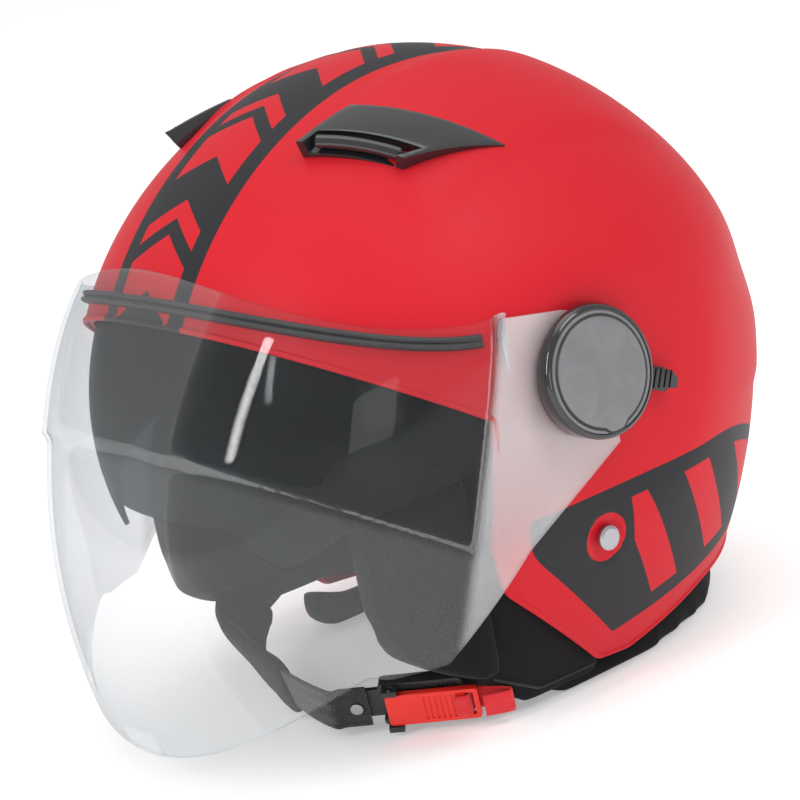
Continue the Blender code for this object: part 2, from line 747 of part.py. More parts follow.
def shield_edges(turn):
    """The lower and upper height of the bubble at a turn from the front."""
    size = abs(turn)
    top = SHIELD_EAR_TOP_Z + (SHIELD_TOP_Z - SHIELD_EAR_TOP_Z) * math.cos(size) ** 2
    low = SHIELD_LOW_Z + SHIELD_LOW_RISE * math.sin(size) ** 2
    ear_low = ear_edge(SHIELD_MIDDLE_Y - (SHIELD_REACH + SHIELD_MIDDLE_Y) * math.cos(size))
    strip = math.radians(56)
    if size > strip:
        low = max(EAR_STRIP_Z, ear_low)
    return low, top


def ear_edge(y):
    """The height of the ear's lower edge at a place along the helmet."""
    bend = -41 * MM
    if y < bend:
        return -57.5 * MM + 0.75 * (y - bend)
    return -57.5 * MM + 0.5 * (y - bend)


def build_shield():
    columns = []
    count = 26
    turns = [math.radians(-90 + 180 * k / count) for k in range(count + 1)]
    rows = 10
    ear_places = (-18 * MM, -2 * MM, 10 * MM)
    grids = []
    for inset in (0, SHIELD_WALL):
        grid = []
        for side in (-1, 1):
            strip = []
            for y in ear_places:
                low = ear_edge(y)
                top = SHIELD_EAR_TOP_Z - 0.2 * (y - SHIELD_MIDDLE_Y) - (0 if y < 0 else 3 * MM)
                strip.append([(side * (SHIELD_HALF_WIDTH - inset), y, low + (top - low) * k / rows)
                              for k in range(rows + 1)])
            grid.append(strip)
        middle = []
        for turn in turns:
            low, top = shield_edges(turn)
            middle.append([shield_point(turn, low + (top - low) * k / rows, inset) for k in range(rows + 1)])
        grids.append(list(reversed(grid[0])) + middle + grid[1])
    columns = grids
    clear = material("shield_clear", (0.9, 0.93, 0.95, 1), 0.05, alpha=0.3)
    shield = add_object("face_shield", sheet("face_shield", columns[0], columns[1]), clear)
    for label, side in SIDES.items():
        hole = side_bore("ear_hole_" + label, 0, 0, EAR_HOLE, SIDE_FLAT, SIDE_FLAT + 9 * MM, side, 24)
        combine(shield, hole, "DIFFERENCE")
    return shield


# ---------------------------------------------------------------- sun visor and its lever

def visor_low_angle(x):
    """The lens's lower edge across the helmet: a nose notch, two lobes and straight sides."""
    size = abs(x)
    lobe = 58 * MM
    notch = 38 * MM
    side = 96 * MM
    if size < notch:
        return VISOR_NOSE_ANGLE
    if size < lobe:
        blend = (size - notch) / (lobe - notch)
        return VISOR_NOSE_ANGLE + (VISOR_LOBE_ANGLE - VISOR_NOSE_ANGLE) * (3 - 2 * blend) * blend ** 2
    if size < side:
        blend = (size - lobe) / (side - lobe)
        return VISOR_LOBE_ANGLE + (VISOR_SIDE_ANGLE - VISOR_LOBE_ANGLE) * blend
    return VISOR_SIDE_ANGLE


def visor_point(turn, angle, inset):
    """turn runs across the lens, angle is measured about its pivot from straight ahead."""
    half_width = VISOR_HALF_WIDTH - inset
    x = half_width * math.sin(turn)
    radius = visor_section(half_width, VISOR_REACH - inset, x)
    lean = math.radians(angle)
    return (x, VISOR_PIVOT_Y - radius * math.cos(lean), VISOR_PIVOT_Z + radius * math.sin(lean))


def visor_slot(label):
    """A cutter for the slot in the left ear that the peg drives."""
    peg = Vector((math.cos(peg_angle()), math.sin(peg_angle()))) * PEG_ORBIT
    pivot = Vector((VISOR_PIVOT_Y, VISOR_PIVOT_Z))
    reach = (peg - pivot).length
    along = (peg - pivot).normalized()
    beside = Vector((-along.y, along.x)) * (PEG_RADIUS + PEG_PLAY)
    start = pivot + along * (reach - 4.6 * MM)
    end = pivot + along * (reach + 6 * MM)
    outline = [tuple(start - beside), tuple(end - beside), tuple(end + beside), tuple(start + beside)]
    return add_cutter(label, side_prism(label, outline, SIDE_FLAT - 12 * MM, SIDE_FLAT))


def build_visor():
    count = 28
    reach = math.radians(88.5)
    turns = [-reach + 2 * reach * k / count for k in range(count + 1)]
    rows = 5
    grids = []
    for inset in (0, VISOR_WALL):
        grid = []
        for turn in turns:
            low = visor_low_angle(VISOR_HALF_WIDTH * math.sin(turn))
            grid.append([visor_point(turn, low + (VISOR_TOP_ANGLE - low) * k / rows, inset)
                         for k in range(rows + 1)])
        grids.append(grid)
    tint = material("visor_tint", (0.03, 0.06, 0.07, 1), 0.08, alpha=0.8)
    pivot = (0, VISOR_PIVOT_Y, VISOR_PIVOT_Z)
    visor = add_object("sun_visor", sheet("sun_visor", grids[0], grids[1]), tint, pivot)
    low = VISOR_HALF_WIDTH - VISOR_WALL - 0.2 * MM
    high = VISOR_HALF_WIDTH + 0.2 * MM
    for label, side in SIDES.items():
        name = "visor_ear_" + label
        outline = visor_ear_outline(side)
        ends = sorted((side * low, side * high))
        ear = add_cutter(name, side_prism(name, outline, *ends))
        combine(visor, ear, "UNION")
        hole = side_bore("visor_hole_" + label, VISOR_PIVOT_Y, VISOR_PIVOT_Z, VISOR_PIN_RADIUS + GAP,
                         low - 5 * MM, high + 5 * MM, side)
        combine(visor, hole, "DIFFERENCE")
    combine(visor, visor_slot("visor_peg_slot"), "DIFFERENCE")


def visor_ear_outline(side):
    """A disc about the visor's pivot, with an arm towards the peg on the left."""
    peg = peg_angle()
    toward = Vector((math.cos(peg) * PEG_ORBIT - VISOR_PIVOT_Y, math.sin(peg) * PEG_ORBIT - VISOR_PIVOT_Z))
    aim = math.atan2(toward.y, toward.x)
    outline = []
    segments = 28
    for k in range(segments):
        turn = 2 * math.pi * k / segments
        off = (turn - aim + math.pi) % (2 * math.pi) - math.pi
        swell = VISOR_EAR_SWELL * math.exp(-(off / 0.62) ** 2) if side > 0 else 0
        radius = VISOR_EAR_RADIUS + swell
        outline.append((VISOR_PIVOT_Y + radius * math.cos(turn), VISOR_PIVOT_Z + radius * math.sin(turn)))
    return outline


def build_visor_pins():
    steel = material("pin_steel", (0.5, 0.5, 0.5, 1), 0.35, 1.0)
    for label, side in SIDES.items():
        def place(radius, angle, height, side=side):
            return (side * height, VISOR_PIVOT_Y + radius * math.cos(angle),
                    VISOR_PIVOT_Z + radius * math.sin(angle))
        inside = VISOR_HALF_WIDTH - VISOR_WALL - 0.5 * MM
        rings = [
            (4.2 * MM, inside - 1 * MM),
            (4.2 * MM, inside),
            (VISOR_PIN_RADIUS, inside),
            (VISOR_PIN_RADIUS, SIDE_FLAT - 0.4 * MM),
        ]
        add_object("visor_pin_" + label, turned("visor_pin_" + label, rings, place, 20), steel)


def build_lever():
    """A plate under the left ear with a tab that stands out behind the hinge cover."""
    low = SIDE_FLAT + GAP
    high = low + LEVER_PLATE
    lean = math.radians(LEVER_ANGLE)
    outline = []
    half = math.asin(LEVER_WIDTH / 2 / LEVER_HUB)
    count = 26
    for k in range(count + 1):
        turn = lean + half + (2 * math.pi - 2 * half) * k / count
        outline.append((LEVER_HUB * math.cos(turn), LEVER_HUB * math.sin(turn)))
    along = Vector((math.cos(lean), math.sin(lean)))
    beside = Vector((-along.y, along.x)) * LEVER_WIDTH / 2
    for reach, shift in ((LEVER_TIP - 1.5 * MM, -1), (LEVER_TIP, -0.6), (LEVER_TIP, 0.3),
                         (LEVER_TIP - 4 * MM, 1)):
        outline.append(tuple(along * reach + beside * shift))
    black = material("trim_black", BLACK, 0.35)
    lever = add_object("visor_lever", side_prism("visor_lever", outline, low, high), black)
    start = COVER_BASE_RADIUS + 2.5 * MM
    end = LEVER_TIP - 0.4 * MM
    tab = [tuple(along * start - beside * 0.9), tuple(along * end - beside * 0.55),
           tuple(along * end + beside * 0.25), tuple(along * (end - 4 * MM) + beside * 0.9),
           tuple(along * start + beside * 0.9)]
    grip = side_prism("lever_tab", tab, low + LEVER_PLATE / 2, low + LEVER_TAB_HEIGHT)
    combine(lever, add_cutter("lever_tab", grip), "UNION")
    bore = side_bore("lever_bore", 0, 0, LEVER_BORE, low - 2 * MM, high + 2 * MM, 1, 24)
    combine(lever, bore, "DIFFERENCE")
    y = PEG_ORBIT * math.cos(peg_angle())
    z = PEG_ORBIT * math.sin(peg_angle())
    inner = VISOR_HALF_WIDTH - VISOR_WALL - 1 * MM
    peg = side_bore("lever_peg", y, z, PEG_RADIUS, inner, high - 0.5 * MM, 1, 16)
    combine(lever, peg, "UNION")


# ---------------------------------------------------------------- hinge covers

def cover_face(angle, radius):
    """The height of the tilted cover face, which looks slightly upwards."""
    return EAR_FACE + COVER_HEIGHT - math.tan(COVER_TILT) * radius * math.sin(angle)


def cap_radius(angle, grow=0.0):
    """The cap's outline: a disc with one lobe at its foot."""
    off = (angle + math.pi / 2 + math.pi) % (2 * math.pi) - math.pi
    edge = 1 / (1 + math.exp((abs(off) - 0.2) / 0.035))
    return CAP_RADIUS + grow + CAP_LOBE * edge


def build_hinges():
    black = material("trim_black", BLACK, 0.35)
    grey = material("cover_grey", GREY, 0.4)
    steel = material("pin_steel", (0.5, 0.5, 0.5, 1), 0.35, 1.0)
    base = EAR_FACE + GAP
    for label, side in SIDES.items():
        place = across(side)
        build_hinge_base(label, place, black)
        inner_radius = COVER_BASE_RADIUS - COVER_WALL - 0.6 * MM

        def face(drop, radius):
            return lambda a: cover_face(a, radius(a) if callable(radius) else radius) - drop
        pocket = lambda a: cap_radius(a, GAP)
        roof = COVER_WALL + CAP_POCKET
        rings = [
            (inner_radius * 0.5, face(roof, inner_radius * 0.5)),
            (inner_radius, face(roof, inner_radius)),
            (inner_radius + 0.2 * MM, base),
            (COVER_BASE_RADIUS, base),
            (COVER_BASE_RADIUS - 1.2 * MM, face(1.0 * MM, COVER_FACE_RADIUS)),
            (COVER_FACE_RADIUS, face(0, COVER_FACE_RADIUS)),
            (pocket, face(0, pocket)),
            (pocket, face(CAP_POCKET, pocket)),
            (CAP_RADIUS * 0.5, face(CAP_POCKET, CAP_RADIUS * 0.5)),
        ]
        add_object("hinge_cover_" + label, turned("hinge_cover_" + label, rings, place, 48), black)
        cap = [
            (CAP_RADIUS * 0.5, face(CAP_POCKET - GAP, CAP_RADIUS * 0.5)),
            (cap_radius, face(CAP_POCKET - GAP, cap_radius)),
            (cap_radius, face(-0.1 * MM, cap_radius)),
            (lambda a: cap_radius(a) - 0.5 * MM, face(-0.5 * MM, cap_radius)),
            (CAP_RADIUS * 0.5, face(-0.5 * MM, CAP_RADIUS * 0.5)),
        ]
        add_object("hinge_cap_" + label, turned("hinge_cap_" + label, cap, place, 48), grey)
        head = base + FLANGE_HEIGHT + GAP
        screw = [
            (SCREW_RADIUS, SIDE_FLAT - SHELL_WALL - 2.4 * MM),
            (SCREW_RADIUS, head),
            (SCREW_HEAD, head),
            (SCREW_HEAD, head + 1 * MM),
            (SCREW_HEAD - 0.8 * MM, head + 1.6 * MM),
        ]
        add_object("hinge_screw_" + label, turned("hinge_screw_" + label, screw, place, 20), steel)
        add_object("detent_spring_" + label, spring_mesh(label, side), steel)


def build_hinge_base(label, place, finish):
    """The stepped hub that the shield's ear turns on, screwed through the shell."""
    low = SIDE_FLAT + GAP
    step = SHIELD_HALF_WIDTH - SHIELD_WALL - GAP
    flange = EAR_FACE + GAP
    rings = [
        (LEVER_BORE - GAP, low),
        (LEVER_BORE - GAP, step),
        (EAR_HOLE - GAP, step),
        (EAR_HOLE - GAP, flange),
        (FLANGE_RADIUS, flange),
        (FLANGE_RADIUS, flange + FLANGE_HEIGHT),
    ]
    hub = add_object("hinge_base_" + label, turned("hinge_base_" + label, rings, place, 32), finish)
    side = SIDES[label]
    bore = side_bore("base_bore_" + label, 0, 0, SCREW_RADIUS + GAP, low - 2 * MM, flange + 4 * MM, side)
    combine(hub, bore, "DIFFERENCE")


def spring_mesh(label, side):
    """An open ring of wire under the cover."""
    height = EAR_FACE + GAP + FLANGE_HEIGHT + SPRING_WIRE + GAP
    sections = []
    count = 24
    for k in range(count + 1):
        turn = math.radians(40 + 280 * k / count)
        loop = []
        for j in range(8):
            lean = 2 * math.pi * j / 8
            radius = SPRING_RADIUS + SPRING_WIRE * math.cos(lean)
            loop.append((side * (height + SPRING_WIRE * math.sin(lean)), radius * math.cos(turn),
                         radius * math.sin(turn)))
        sections.append(loop)
    return tube("detent_spring_" + label, sections)


# ---------------------------------------------------------------- gasket and vents

def gasket_height(y):
    run = max((-y + GASKET_END_Y + 6 * MM) / GASKET_RUN, 0)
    return GASKET_END_Z + GASKET_RISE * run ** 1.6


def shell_point_at(turn):
    """The place on the shell where the gasket's line crosses a plan direction."""
    lean = 0.4
    for _ in range(30):
        direction = Vector((math.sin(turn) * math.cos(lean), -math.cos(turn) * math.cos(lean), math.sin(lean)))
        point = dome_point(SHELL_FORM, direction, 0, SIDE_FLAT)
        lean += (gasket_height(point.y) - point.z) / DOME_FRONT * 0.8
    offset = point - DOME_CENTRE
    normal = form_normal(SHELL_FORM, offset)
    return point, normal


def build_gasket():
    count = 44
    limit = math.radians(67)
    places = [shell_point_at(-limit + 2 * limit * k / count) for k in range(count + 1)]
    sections = []
    for k, (point, normal) in enumerate(places):
        ahead = places[min(k + 1, count)][0] - places[max(k - 1, 0)][0]
        across_strip = normal.cross(ahead).normalized()
        if across_strip.z < 0:
            across_strip.negate()
        end = min(k, count - k) / 6
        depth = GASKET_END_DEPTH + (GASKET_DEPTH - GASKET_END_DEPTH) * min(end, 1)
        sections.append(gasket_section(point, normal, across_strip, depth))
    rubber = material("rubber_black", BLACK, 0.7)
    add_object("brow_gasket", tube("brow_gasket", sections), rubber)


def gasket_section(point, normal, across_strip, depth):
    """Two ridges with a valley between, standing off the shell by the gap."""
    half = GASKET_WIDTH / 2
    root = 2 * GAP
    shape = [(-half, root), (-half, depth * 0.8), (-half * 0.5, depth), (0, depth * 0.65),
             (half * 0.5, depth), (half, depth * 0.8), (half, root)]
    return [point + across_strip * u + normal * v for u, v in shape]


def build_vents():
    gloss = material("vent_gloss", BLACK, 0.15)
    for label, side in SIDES.items():
        name = "vent_housing_" + label
        block = vent_block(name, side, (0, 1), (0, 1), lambda v: 1.5 * GAP, vent_height)
        housing = add_object(name, block, gloss)
        mouth = vent_block("vent_mouth_" + label, side, (VENT_MARGIN, 1 - VENT_MARGIN), (-0.2, VENT_MOUTH),
                           lambda v: -2 * MM, lambda v: VENT_SLOT_HEIGHT, 4)
        combine(housing, add_cutter("vent_mouth_" + label, mouth), "DIFFERENCE")
        build_shutter(label, side)


def shutter_ends(side):
    """The two ends of the shutter's hinge line."""
    inset = VENT_MARGIN + 0.06
    return [vent_point(side, u, VENT_MOUTH * 0.4, SHUTTER_LIFT) for u in (inset, 1 - inset)]


def build_shutter(label, side):
    """A bar across the vent's mouth that turns on its own length and carries a thumb ridge."""
    start, end = shutter_ends(side)
    along = (end - start).normalized()
    middle = (start + end) / 2
    _, up = shell_surface(abs(middle.x), middle.y)
    up.x *= side
    up = (up - along * up.dot(along)).normalized()
    rearward = up.cross(along) * side
    shape = []
    count = 12
    for k in range(count):
        turn = 2 * math.pi * k / count
        stretch = SHUTTER_STRETCH if math.cos(turn) < -0.5 else 1.0
        shape.append((SHUTTER_RADIUS * math.cos(turn) * stretch, SHUTTER_RADIUS * math.sin(turn)))
    sections = [[point + rearward * u + up * v for u, v in shape] for point in (start, middle, end)]
    add_object("vent_shutter_" + label, tube("vent_shutter_" + label, sections),
               material("trim_black", BLACK, 0.35), middle)


# ---------------------------------------------------------------- chin strap

def smooth_path(knots, count):
    """Points at even steps along a curve through the knots."""
    knots = [Vector(k) for k in knots]
    dense = []
    padded = [2 * knots[0] - knots[1]] + knots + [2 * knots[-1] - knots[-2]]
    for k in range(1, len(padded) - 2):
        p0, p1, p2, p3 = padded[k - 1:k + 3]
        for step in range(20):
            t = step / 20
            dense.append(0.5 * (2 * p1 + (p2 - p0) * t + (2 * p0 - 5 * p1 + 4 * p2 - p3) * t ** 2
                                + (3 * p1 - p0 - 3 * p2 + p3) * t ** 3))
    dense.append(knots[-1])
    lengths = [0]
    for before, after in zip(dense, dense[1:]):
        lengths.append(lengths[-1] + (after - before).length)
    points = []
    for k in range(count + 1):
        target = lengths[-1] * k / count
        index = max(i for i, length in enumerate(lengths) if length <= target + 1e-9)
        index = min(index, len(dense) - 2)
        share = (target - lengths[index]) / (lengths[index + 1] - lengths[index])
        points.append(dense[index].lerp(dense[index + 1], share))
    return points


def band_frames(points, edge_start, edge_end):
    """At each point: the tangent, the width direction and the face normal of a flat band."""
    frames = []
    last = len(points) - 1
    for k, point in enumerate(points):
        tangent = (points[min(k + 1, last)] - points[max(k - 1, 0)]).normalized()
        share = k / last
        edge = Vector(edge_start).lerp(Vector(edge_end), share * share * (3 - 2 * share))
        edge = (edge - tangent * edge.dot(tangent)).normalized()
        frames.append((point, edge, tangent.cross(edge).normalized()))
    return frames


def band_solid(name, frames, width, thickness):
    sections = []
    for point, edge, normal in frames:
        half = edge * width / 2
        deep = normal * thickness / 2
        sections.append([point - half - deep, point + half - deep, point + half + deep, point - half + deep])
    return tube(name, sections)


PLATE_THICKNESS = 1.3 * MM
EDGE_AT_ANCHOR = Vector((0, 0.96, -0.2))
EDGE_AT_CHIN = Vector((0, 0.4, -0.92))


def upper_knots(side):
    """The strap's run from its anchor down into the cheek pad."""
    return [Vector((side * ANCHOR_X, RIVET_Y + 1 * MM, RIVET_Z + 7 * MM)),
            Vector((side * (ANCHOR_X - 0.3 * MM), RIVET_Y, RIVET_Z)),
            Vector((side * (ANCHOR_X - 2 * MM), RIVET_Y - 2 * MM, RIVET_Z - 9 * MM)),
            Vector((side * (ANCHOR_X - 10.8 * MM), -13 * MM, -86 * MM)),
            Vector((side * (ANCHOR_X - 22.8 * MM), -25 * MM, -96 * MM))]


def left_strap_points():
    under = -BUCKLE_DEPTH / 2 - 2 * GAP - STRAP_THICKNESS / 2
    start = -BUCKLE_LENGTH / 2
    knots = [Vector((ANCHOR_X - 31.8 * MM, -31 * MM, -107 * MM)),
             Vector((ANCHOR_X - 36.3 * MM, -37 * MM, -116.5 * MM)),
             buckle_place(start - 4 * MM, 0, under), buckle_place(start + STRAP_LAP, 0, under)]
    return smooth_path(upper_knots(1) + knots, 20)


def right_strap_points():
    over = TONGUE_DEPTH / 2 + GAP + STRAP_THICKNESS / 2
    reach = BUCKLE_LENGTH / 2 + TONGUE_REACH
    knots = [Vector((30.8 * MM - ANCHOR_X, -38 * MM, -102 * MM)),
             Vector((40.8 * MM - ANCHOR_X, -58 * MM, -107 * MM)), Vector((-46, -74, -111)) * MM,
             Vector((-14, -84, -114)) * MM, Vector((16, -89, -117)) * MM,
             buckle_place(reach + 6 * MM, 0, over), buckle_place(reach + 1 * MM, 0, over),
             buckle_place(reach - STRAP_LAP, 0, over)]
    return smooth_path(upper_knots(-1) + knots, 30)


def strap_edges(side):
    """The webbing's width direction at its anchor and at the buckle."""
    start = Vector((EDGE_AT_ANCHOR.x * side, EDGE_AT_ANCHOR.y, EDGE_AT_ANCHOR.z))
    return start, buckle_place(0, 1, 0) - buckle_place(0, 0, 0)


def strap_slot(label, side):
    """A cutter along the webbing, and along its sleeve, through the foam and the pads."""
    points = left_strap_points() if side > 0 else right_strap_points()
    play = 2 * STRAP_SLOT_PLAY
    frames = band_frames(points, *strap_edges(side))
    slot = add_cutter("strap_slot_" + label,
                      band_solid("strap_slot_" + label, frames[:-4], STRAP_WIDTH + play, STRAP_THICKNESS + play))
    if side < 0:
        wide = band_solid("sleeve_slot", frames[SLEEVE_START - 1:SLEEVE_END], SLEEVE_WIDTH + play,
                          SLEEVE_THICKNESS + play)
        combine(slot, add_cutter("sleeve_slot", wide), "UNION")
    return slot


def buckle_place(u, v, height):
    """Local buckle coordinates: along the strap, across its width and out of its face."""
    across_width = (EDGE_AT_CHIN - BUCKLE_ALONG * EDGE_AT_CHIN.dot(BUCKLE_ALONG)).normalized()
    out = across_width.cross(BUCKLE_ALONG).normalized()
    if out.x < 0:
        out.negate()
    return BUCKLE_CENTRE + BUCKLE_ALONG * u + across_width * v + out * height


def box(name, length, width, low, high, corner=0.0):
    """A block in the buckle's coordinates; length and width are (start, end) pairs."""
    corners = [(length[0], width[0], corner), (length[1], width[0], corner),
               (length[1], width[1], corner), (length[0], width[1], corner)]
    outline = rounded(corners, 3) if corner else [c[:2] for c in corners]
    return prism(name, outline, buckle_place, low, high)


def build_strap():
    web = material("webbing_black", BLACK, 0.9)
    cloth = material("lining_black", BLACK, 0.95)
    plastic = material("trim_black", BLACK, 0.35)
    steel = material("rivet_aluminium", (0.75, 0.75, 0.76, 1), 0.3, 1.0)
    left = band_frames(left_strap_points(), *strap_edges(1))
    right = band_frames(right_strap_points(), *strap_edges(-1))
    add_object("strap_left", band_solid("strap_left", left, STRAP_WIDTH, STRAP_THICKNESS), web)
    add_object("strap_right", band_solid("strap_right", right, STRAP_WIDTH, STRAP_THICKNESS), web)
    build_sleeve(right[SLEEVE_START:SLEEVE_END], cloth)
    build_anchors(steel)
    build_buckle(plastic, steel)


def build_sleeve(frames, finish):
    """The padded sleeve that the right strap runs through."""
    shapes = []
    hole_w = STRAP_WIDTH / 2 + 0.8 * MM
    hole_t = STRAP_THICKNESS / 2 + 0.8 * MM
    out_w = SLEEVE_WIDTH / 2
    out_t = SLEEVE_THICKNESS / 2
    for half_w, half_t in ((out_w, out_t), (hole_w, hole_t)):
        loops = []
        for point, edge, normal in frames:
            loops.append([point + edge * half_w * u + normal * half_t * v
                          for u, v in ((-1, -0.5), (-0.8, -1), (0.8, -1), (1, -0.5),
                                       (1, 0.5), (0.8, 1), (-0.8, 1), (-1, 0.5))])
        shapes.append(loops)
    outer, inner = shapes
    add_object("strap_sleeve", tube("strap_sleeve", outer + inner[::-1], closed=True), finish)


def build_anchors(finish):
    """The rivet through the shell on each side, and the plate between the shell and the webbing."""
    skin = rivet_seat()
    plate_low = ANCHOR_X + STRAP_THICKNESS / 2 + GAP
    for label, side in SIDES.items():
        def place(radius, angle, height, side=side):
            return (side * height, RIVET_Y + radius * math.cos(angle), RIVET_Z + radius * math.sin(angle))
        inner = ANCHOR_X - STRAP_THICKNESS / 2 - 1.6 * MM
        rings = [
            (RIVET_RADIUS, inner - 1.2 * MM),
            (RIVET_RADIUS, inner),
            (RIVET_SHANK, inner),
            (RIVET_SHANK, skin + 0.6 * MM),
            (RIVET_RADIUS, skin + 0.6 * MM),
            (RIVET_RADIUS, skin + 1.4 * MM),
            (RIVET_RADIUS - 1.2 * MM, skin + 2.0 * MM),
        ]
        add_object("anchor_rivet_" + label, turned("anchor_rivet_" + label, rings, place, 24), finish)
        half = 6 * MM
        corner = 3 * MM
        middle = RIVET_Z + 2 * MM
        outline = rounded([(RIVET_Y + u * half, middle + v * half, corner)
                           for u, v in ((-1, -1), (1, -1), (1, 1), (-1, 1))], 3)
        low, high = sorted((side * plate_low, side * (plate_low + PLATE_THICKNESS)))
        plate = add_object("anchor_plate_" + label,
                           side_prism("anchor_plate_" + label, outline, low, high), finish)
        bore = side_bore("plate_bore_" + label, RIVET_Y, RIVET_Z, RIVET_SHANK + GAP, ANCHOR_X - 6 * MM,
                         ANCHOR_X + 5 * MM, side)
        combine(plate, bore, "DIFFERENCE")
        combine(bpy.data.objects["strap_" + label], bore, "DIFFERENCE")


def rivet_seat():
    """The shell's half width where the rivet goes through."""
    low = 0.0
    high = DOME_HALF_WIDTH
    for _ in range(40):
        middle = (low + high) / 2
        if SHELL_FORM((middle, RIVET_Y - DOME_CENTRE_Y, RIVET_Z - DOME_CENTRE_Z)) < 1:
            low = middle
        else:
            high = middle
    return min(low, SIDE_FLAT)


def build_buckle(plastic, steel):
    half_length = BUCKLE_LENGTH / 2
    half_width = BUCKLE_WIDTH / 2
    deep = BUCKLE_DEPTH / 2
    body = add_object("buckle_body", box("buckle_body", (-half_length, half_length), (-half_width, half_width),
                                         -deep, deep, 2 * MM), plastic)
    channel = box("buckle_channel", (-half_length * 0.55, half_length + 2 * MM),
                  (-TONGUE_WIDTH / 2 - 0.5 * MM, TONGUE_WIDTH / 2 + 0.5 * MM),
                  -TONGUE_DEPTH / 2 - 0.5 * MM, deep + 1 * MM)
    combine(body, add_cutter("buckle_channel", channel), "DIFFERENCE")
    pin_u = half_length - 5 * MM
    pin_h = deep + LEVER_LIFT + 1.3 * MM
    build_buckle_pin(pin_u, pin_h, half_width, steel)
    for sign in (-1, 1):
        name = "buckle_lug_%d" % (sign + 1)
        spread = sorted((sign * (half_width - 2.4 * MM), sign * half_width))
        lug = add_cutter(name, box(name, (pin_u - 3 * MM, pin_u + 3 * MM), spread, 0, pin_h + 2.2 * MM))
        combine(body, lug, "UNION")
    bore = buckle_rod("buckle_bore", pin_u, pin_h, half_width + 2 * MM, 1.3 * MM)
    combine(body, add_cutter("buckle_bore", bore), "DIFFERENCE")
    build_buckle_lever(pin_u, pin_h, half_width, half_length)
    reach = half_length + TONGUE_REACH
    tongue = box("buckle_tongue", (-half_length * 0.45, reach), (-TONGUE_WIDTH / 2, TONGUE_WIDTH / 2),
                 -TONGUE_DEPTH / 2, TONGUE_DEPTH / 2, 1.5 * MM)
    add_object("buckle_tongue", tongue, plastic)
    lap = TONGUE_DEPTH / 2 + GAP + STRAP_THICKNESS
    build_rivet("tongue_rivet", reach - STRAP_LAP / 2, -TONGUE_DEPTH / 2, lap, steel,
                ("buckle_tongue", "strap_right"))
    lap = -deep - 2 * GAP - STRAP_THICKNESS
    build_rivet("body_rivet", -half_length + STRAP_LAP / 2, lap, deep, steel, ("buckle_body", "strap_left"))


def build_rivet(name, u, low, high, finish, through):
    """A headed rivet across the buckle's face at u, and its hole in the pieces that it joins."""
    def place(radius, angle, height):
        return buckle_place(u + radius * math.cos(angle), radius * math.sin(angle), height)
    shank = 1.4 * MM
    head = 2.6 * MM
    flat = 0.7 * MM
    rings = [(head, low - GAP - flat), (head, low - GAP), (shank, low - GAP), (shank, high + GAP),
             (head, high + GAP), (head, high + GAP + flat)]
    add_object(name, turned(name, rings, place, 16), finish)
    loops = [[place(shank + GAP, 2 * math.pi * k / 16, height) for k in range(16)]
             for height in (low - 4 * MM, high + 4 * MM)]
    bore = add_cutter(name + "_bore", tube(name + "_bore", loops))
    for piece in through:
        combine(bpy.data.objects[piece], bore, "DIFFERENCE")


def buckle_rod(name, u, height, half, radius, segments=14):
    """A rod across the buckle."""
    loops = []
    for v in (-half, half):
        loops.append([buckle_place(u + radius * math.cos(2 * math.pi * k / segments), v,
                                   height + radius * math.sin(2 * math.pi * k / segments))
                      for k in range(segments)])
    return tube(name, loops)


def build_buckle_pin(u, height, half_width, finish):
    add_object("buckle_pin", buckle_rod("buckle_pin", u, height, half_width - 0.2 * MM, 1.0 * MM), finish)


def build_buckle_lever(pin_u, pin_h, half_width, half_length):
    """The red release lever on the buckle's face, with a ribbon sewn through its tail."""
    red = material("buckle_red", (0.75, 0.04, 0.02, 1), 0.4)
    ribbon = material("ribbon_red", (0.6, 0.01, 0.02, 1), 0.8)
    side = half_width - 2.4 * MM - GAP
    pivot = buckle_place(pin_u, 0, pin_h)
    tail = -half_length - 6 * MM
    low = BUCKLE_DEPTH / 2 + LEVER_LIFT
    lever = add_object("buckle_lever", box("buckle_lever", (tail, pin_u + 2.2 * MM), (-side, side), low,
                                           low + 2.6 * MM, 1.5 * MM), red, pivot)
    bore = add_cutter("lever_pin_bore", buckle_rod("lever_pin_bore", pin_u, pin_h, half_width, 1.0 * MM + GAP))
    combine(lever, bore, "DIFFERENCE")
    slot = add_cutter("ribbon_slot", box("ribbon_slot", (tail + 2 * MM, tail + 5 * MM),
                                         (-side * 0.75, side * 0.75), low - 2 * MM, low + 5 * MM))
    combine(lever, slot, "DIFFERENCE")
    build_ribbon(tail, low, side, ribbon, pivot)


def build_ribbon(tail, low, side, finish, pivot):
    """A loop of ribbon through the lever's slot, hanging down behind it."""
    mid = low + 1.3 * MM
    path = [(tail + 9 * MM, mid + 2.5 * MM), (tail + 5 * MM, mid + 2.4 * MM), (tail + 3.6 * MM, mid + 1.4 * MM),
            (tail + 3.4 * MM, mid - 1.2 * MM), (tail + 2 * MM, mid - 2.4 * MM), (tail - 3 * MM, mid - 2.2 * MM),
            (tail - 11 * MM, mid - 0.8 * MM), (tail - 13 * MM, mid + 0.6 * MM), (tail - 11 * MM, mid + 2 * MM),
            (tail - 2 * MM, mid + 3.4 * MM)]
    half = side * 0.7
    thick = 0.5 * MM
    outer = []
    inner = []
    count = len(path)
    for k, (u, h) in enumerate(path):
        before = Vector(path[max(k - 1, 0)])
        after = Vector(path[min(k + 1, count - 1)])
        aim = (after - before).normalized()
        off = Vector((-aim.y, aim.x)) * thick
        outer.append([buckle_place(u + off.x, v, h + off.y) for v in (-half, half)])
        inner.append([buckle_place(u - off.x, v, h - off.y) for v in (-half, half)])
    add_object("pull_ribbon", sheet("pull_ribbon", outer, inner), finish, pivot)


# ---------------------------------------------------------------- assembly

